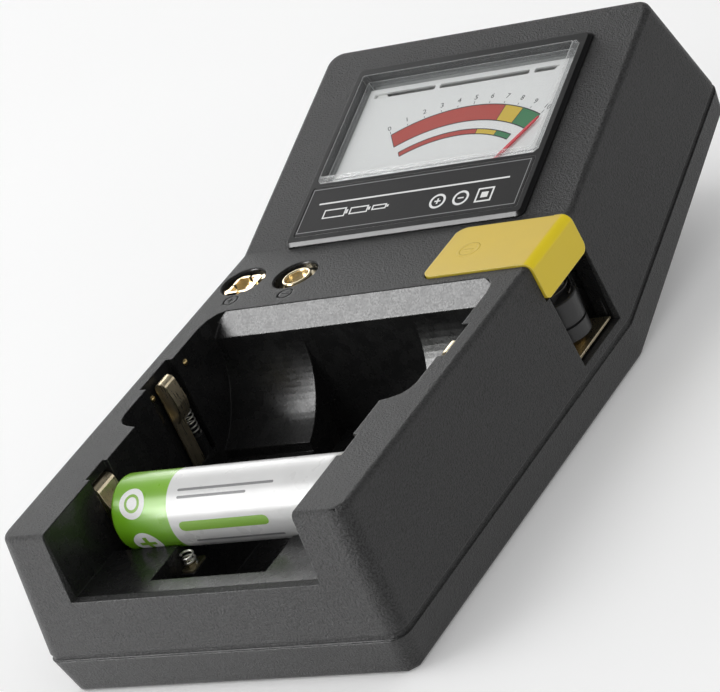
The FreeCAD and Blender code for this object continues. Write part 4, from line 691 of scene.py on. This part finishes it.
# ------------------------------------------------------------------ stage, light, camera
def stage_floor():
    me = bpy.data.meshes.new("floor")
    s = 6.0
    me.from_pydata([(-s, -s, 0), (s, -s, 0), (s, s, 0), (-s, s, 0)], [], [(0, 1, 2, 3)])
    ob = bpy.data.objects.new("floor", me)
    COL.objects.link(ob)
    g = Graph("floor_paint")
    n = g.noise(8.0, 3.0)
    k = g.bsdf(Base_Color=g.mix(g.rng(n, 0.3, 0.7, 0.0, 1.0), (0.90, 0.90, 0.90), (0.92, 0.92, 0.92)), Roughness=0.8)
    lp = g.n("ShaderNodeLightPath")
    em = g.n("ShaderNodeEmission")
    em.inputs[0].default_value = (1, 1, 1, 1)
    fx, fy, fz = g.xyz()
    g.link(g.fmix(lp.outputs["Is Glossy Ray"], 0.10, g.rng(fx, -0.10, 0.12, GLOSS_FLOOR, 0.0, True)), em.inputs[1])
    ad = g.n("ShaderNodeAddShader")
    g.link(k.outputs[0], ad.inputs[0])
    g.link(em.outputs[0], ad.inputs[1])
    me.materials.append(g.done(ad))
    return ob


GLOSS_FLOOR = 1.1
floor = stage_floor()

# Soft studio: an even white room for the matt surfaces, and for reflections a room that is
# white at the horizon, lit from the left and dark overhead on the right.
world = bpy.data.worlds.new("studio")
bpy.context.scene.world = world
world.use_nodes = True
wt = world.node_tree
wt.nodes.clear()


def wn(kind, **kw):
    k = wt.nodes.new(kind)
    for a, v in kw.items():
        setattr(k, a, v)
    return k


def wmath(op, a, b):
    k = wn("ShaderNodeMath", operation=op)
    for i, v in enumerate((a, b)):
        if hasattr(v, "is_output"):
            wt.links.new(v, k.inputs[i])
        else:
            k.inputs[i].default_value = v
    return k.outputs[0]


def wrange(v, a, b, c, d):
    k = wn("ShaderNodeMapRange", interpolation_type="SMOOTHSTEP")
    wt.links.new(v, k.inputs["Value"])
    for nm, q in (("From Min", a), ("From Max", b), ("To Min", c), ("To Max", d)):
        k.inputs[nm].default_value = q
    return k.outputs["Result"]


wc = wn("ShaderNodeTexCoord")
ws = wn("ShaderNodeSeparateXYZ")
wt.links.new(wc.outputs["Generated"], ws.inputs[0])
horizon = wrange(ws.outputs[2], 0.16, 0.52, 1.0, 0.0)
left = wrange(ws.outputs[0], -0.45, 0.35, 1.0, 0.0)
gloss = wmath("ADD", 0.10, wmath("ADD", wmath("MULTIPLY", horizon, 1.0), wmath("MULTIPLY", left, 0.34)))
wlp = wn("ShaderNodeLightPath")
bg_room = wn("ShaderNodeBackground")
bg_room.inputs[0].default_value = (1, 1, 1, 1)
bg_room.inputs[1].default_value = 0.68
bg_gloss = wn("ShaderNodeBackground")
bg_gloss.inputs[0].default_value = (1, 1, 1, 1)
wt.links.new(gloss, bg_gloss.inputs[1])
bg_cam = wn("ShaderNodeBackground")
bg_cam.inputs[0].default_value = (1, 1, 1, 1)
bg_cam.inputs[1].default_value = 1.0
mx1, mx2 = wn("ShaderNodeMixShader"), wn("ShaderNodeMixShader")
wt.links.new(wlp.outputs["Is Glossy Ray"], mx1.inputs[0])
wt.links.new(bg_room.outputs[0], mx1.inputs[1])
wt.links.new(bg_gloss.outputs[0], mx1.inputs[2])
wt.links.new(wlp.outputs["Is Camera Ray"], mx2.inputs[0])
wt.links.new(mx1.outputs[0], mx2.inputs[1])
wt.links.new(bg_cam.outputs[0], mx2.inputs[2])
wo = wn("ShaderNodeOutputWorld")
wt.links.new(mx2.outputs[0], wo.inputs[0])


def area(name, loc, target, size, power, size_y=None, color=(1, 1, 1), diffuse=True, glossy=True):
    li = bpy.data.lights.new(name, "AREA")
    li.energy = power
    li.color = color
    li.shape = "RECTANGLE" if size_y else "SQUARE"
    li.size = size
    if size_y:
        li.size_y = size_y
    ob = bpy.data.objects.new(name, li)
    COL.objects.link(ob)
    ob.location = loc
    d = Vector(target) - Vector(loc)
    ob.rotation_euler = d.to_track_quat("-Z", "Y").to_euler()
    ob.visible_diffuse = diffuse
    ob.visible_glossy = glossy
    ob.visible_transmission = glossy
    return ob


CEN = Vector((0, 0.075, 0.02))
# soft fill that shapes the matt surfaces
area("fill", CEN + Vector((-0.55, -0.30, 1.0)).normalized() * 1.0, CEN, 0.6, 2.8, glossy=False)
# reflected soft boxes
area("key", CEN + Vector((-0.59, -0.574, 0.565)).normalized() * 0.9, CEN, 0.42, 5.5, diffuse=False)
area("low", CEN + Vector((-0.59, -0.74, 0.28)).normalized() * 0.9, CEN, 0.45, 6.4, size_y=0.30, diffuse=False)
area("rear", CEN + Vector((-0.80, 0.62, 0.40)).normalized() * 0.55, CEN, 0.30, 0.7, diffuse=False)

cam = bpy.data.cameras.new("camera")
cam.lens = 3892.13 / 720.0 * 36.0
cam.sensor_width = 36.0
cam.clip_start, cam.clip_end = 0.05, 20.0
co = bpy.data.objects.new("camera", cam)
COL.objects.link(co)
R = ((0.8015815, 0.4476512, -0.3963275), (-0.0955242, -0.5584785, -0.8240005), (-0.5902052, 0.6983625, -0.4049045))
right, up, back = Vector(R[0]), -Vector(R[1]), -Vector(R[2])
mw = Matrix((right, up, back)).transposed().to_4x4()
mw.translation = Vector((0.42915, -0.43900, 0.31957))
co.matrix_world = mw
bpy.context.scene.camera = co
bpy.context.scene.view_settings.view_transform = "Standard"
bpy.context.scene.view_settings.look = "None"
bpy.context.scene.view_settings.exposure = 0.0
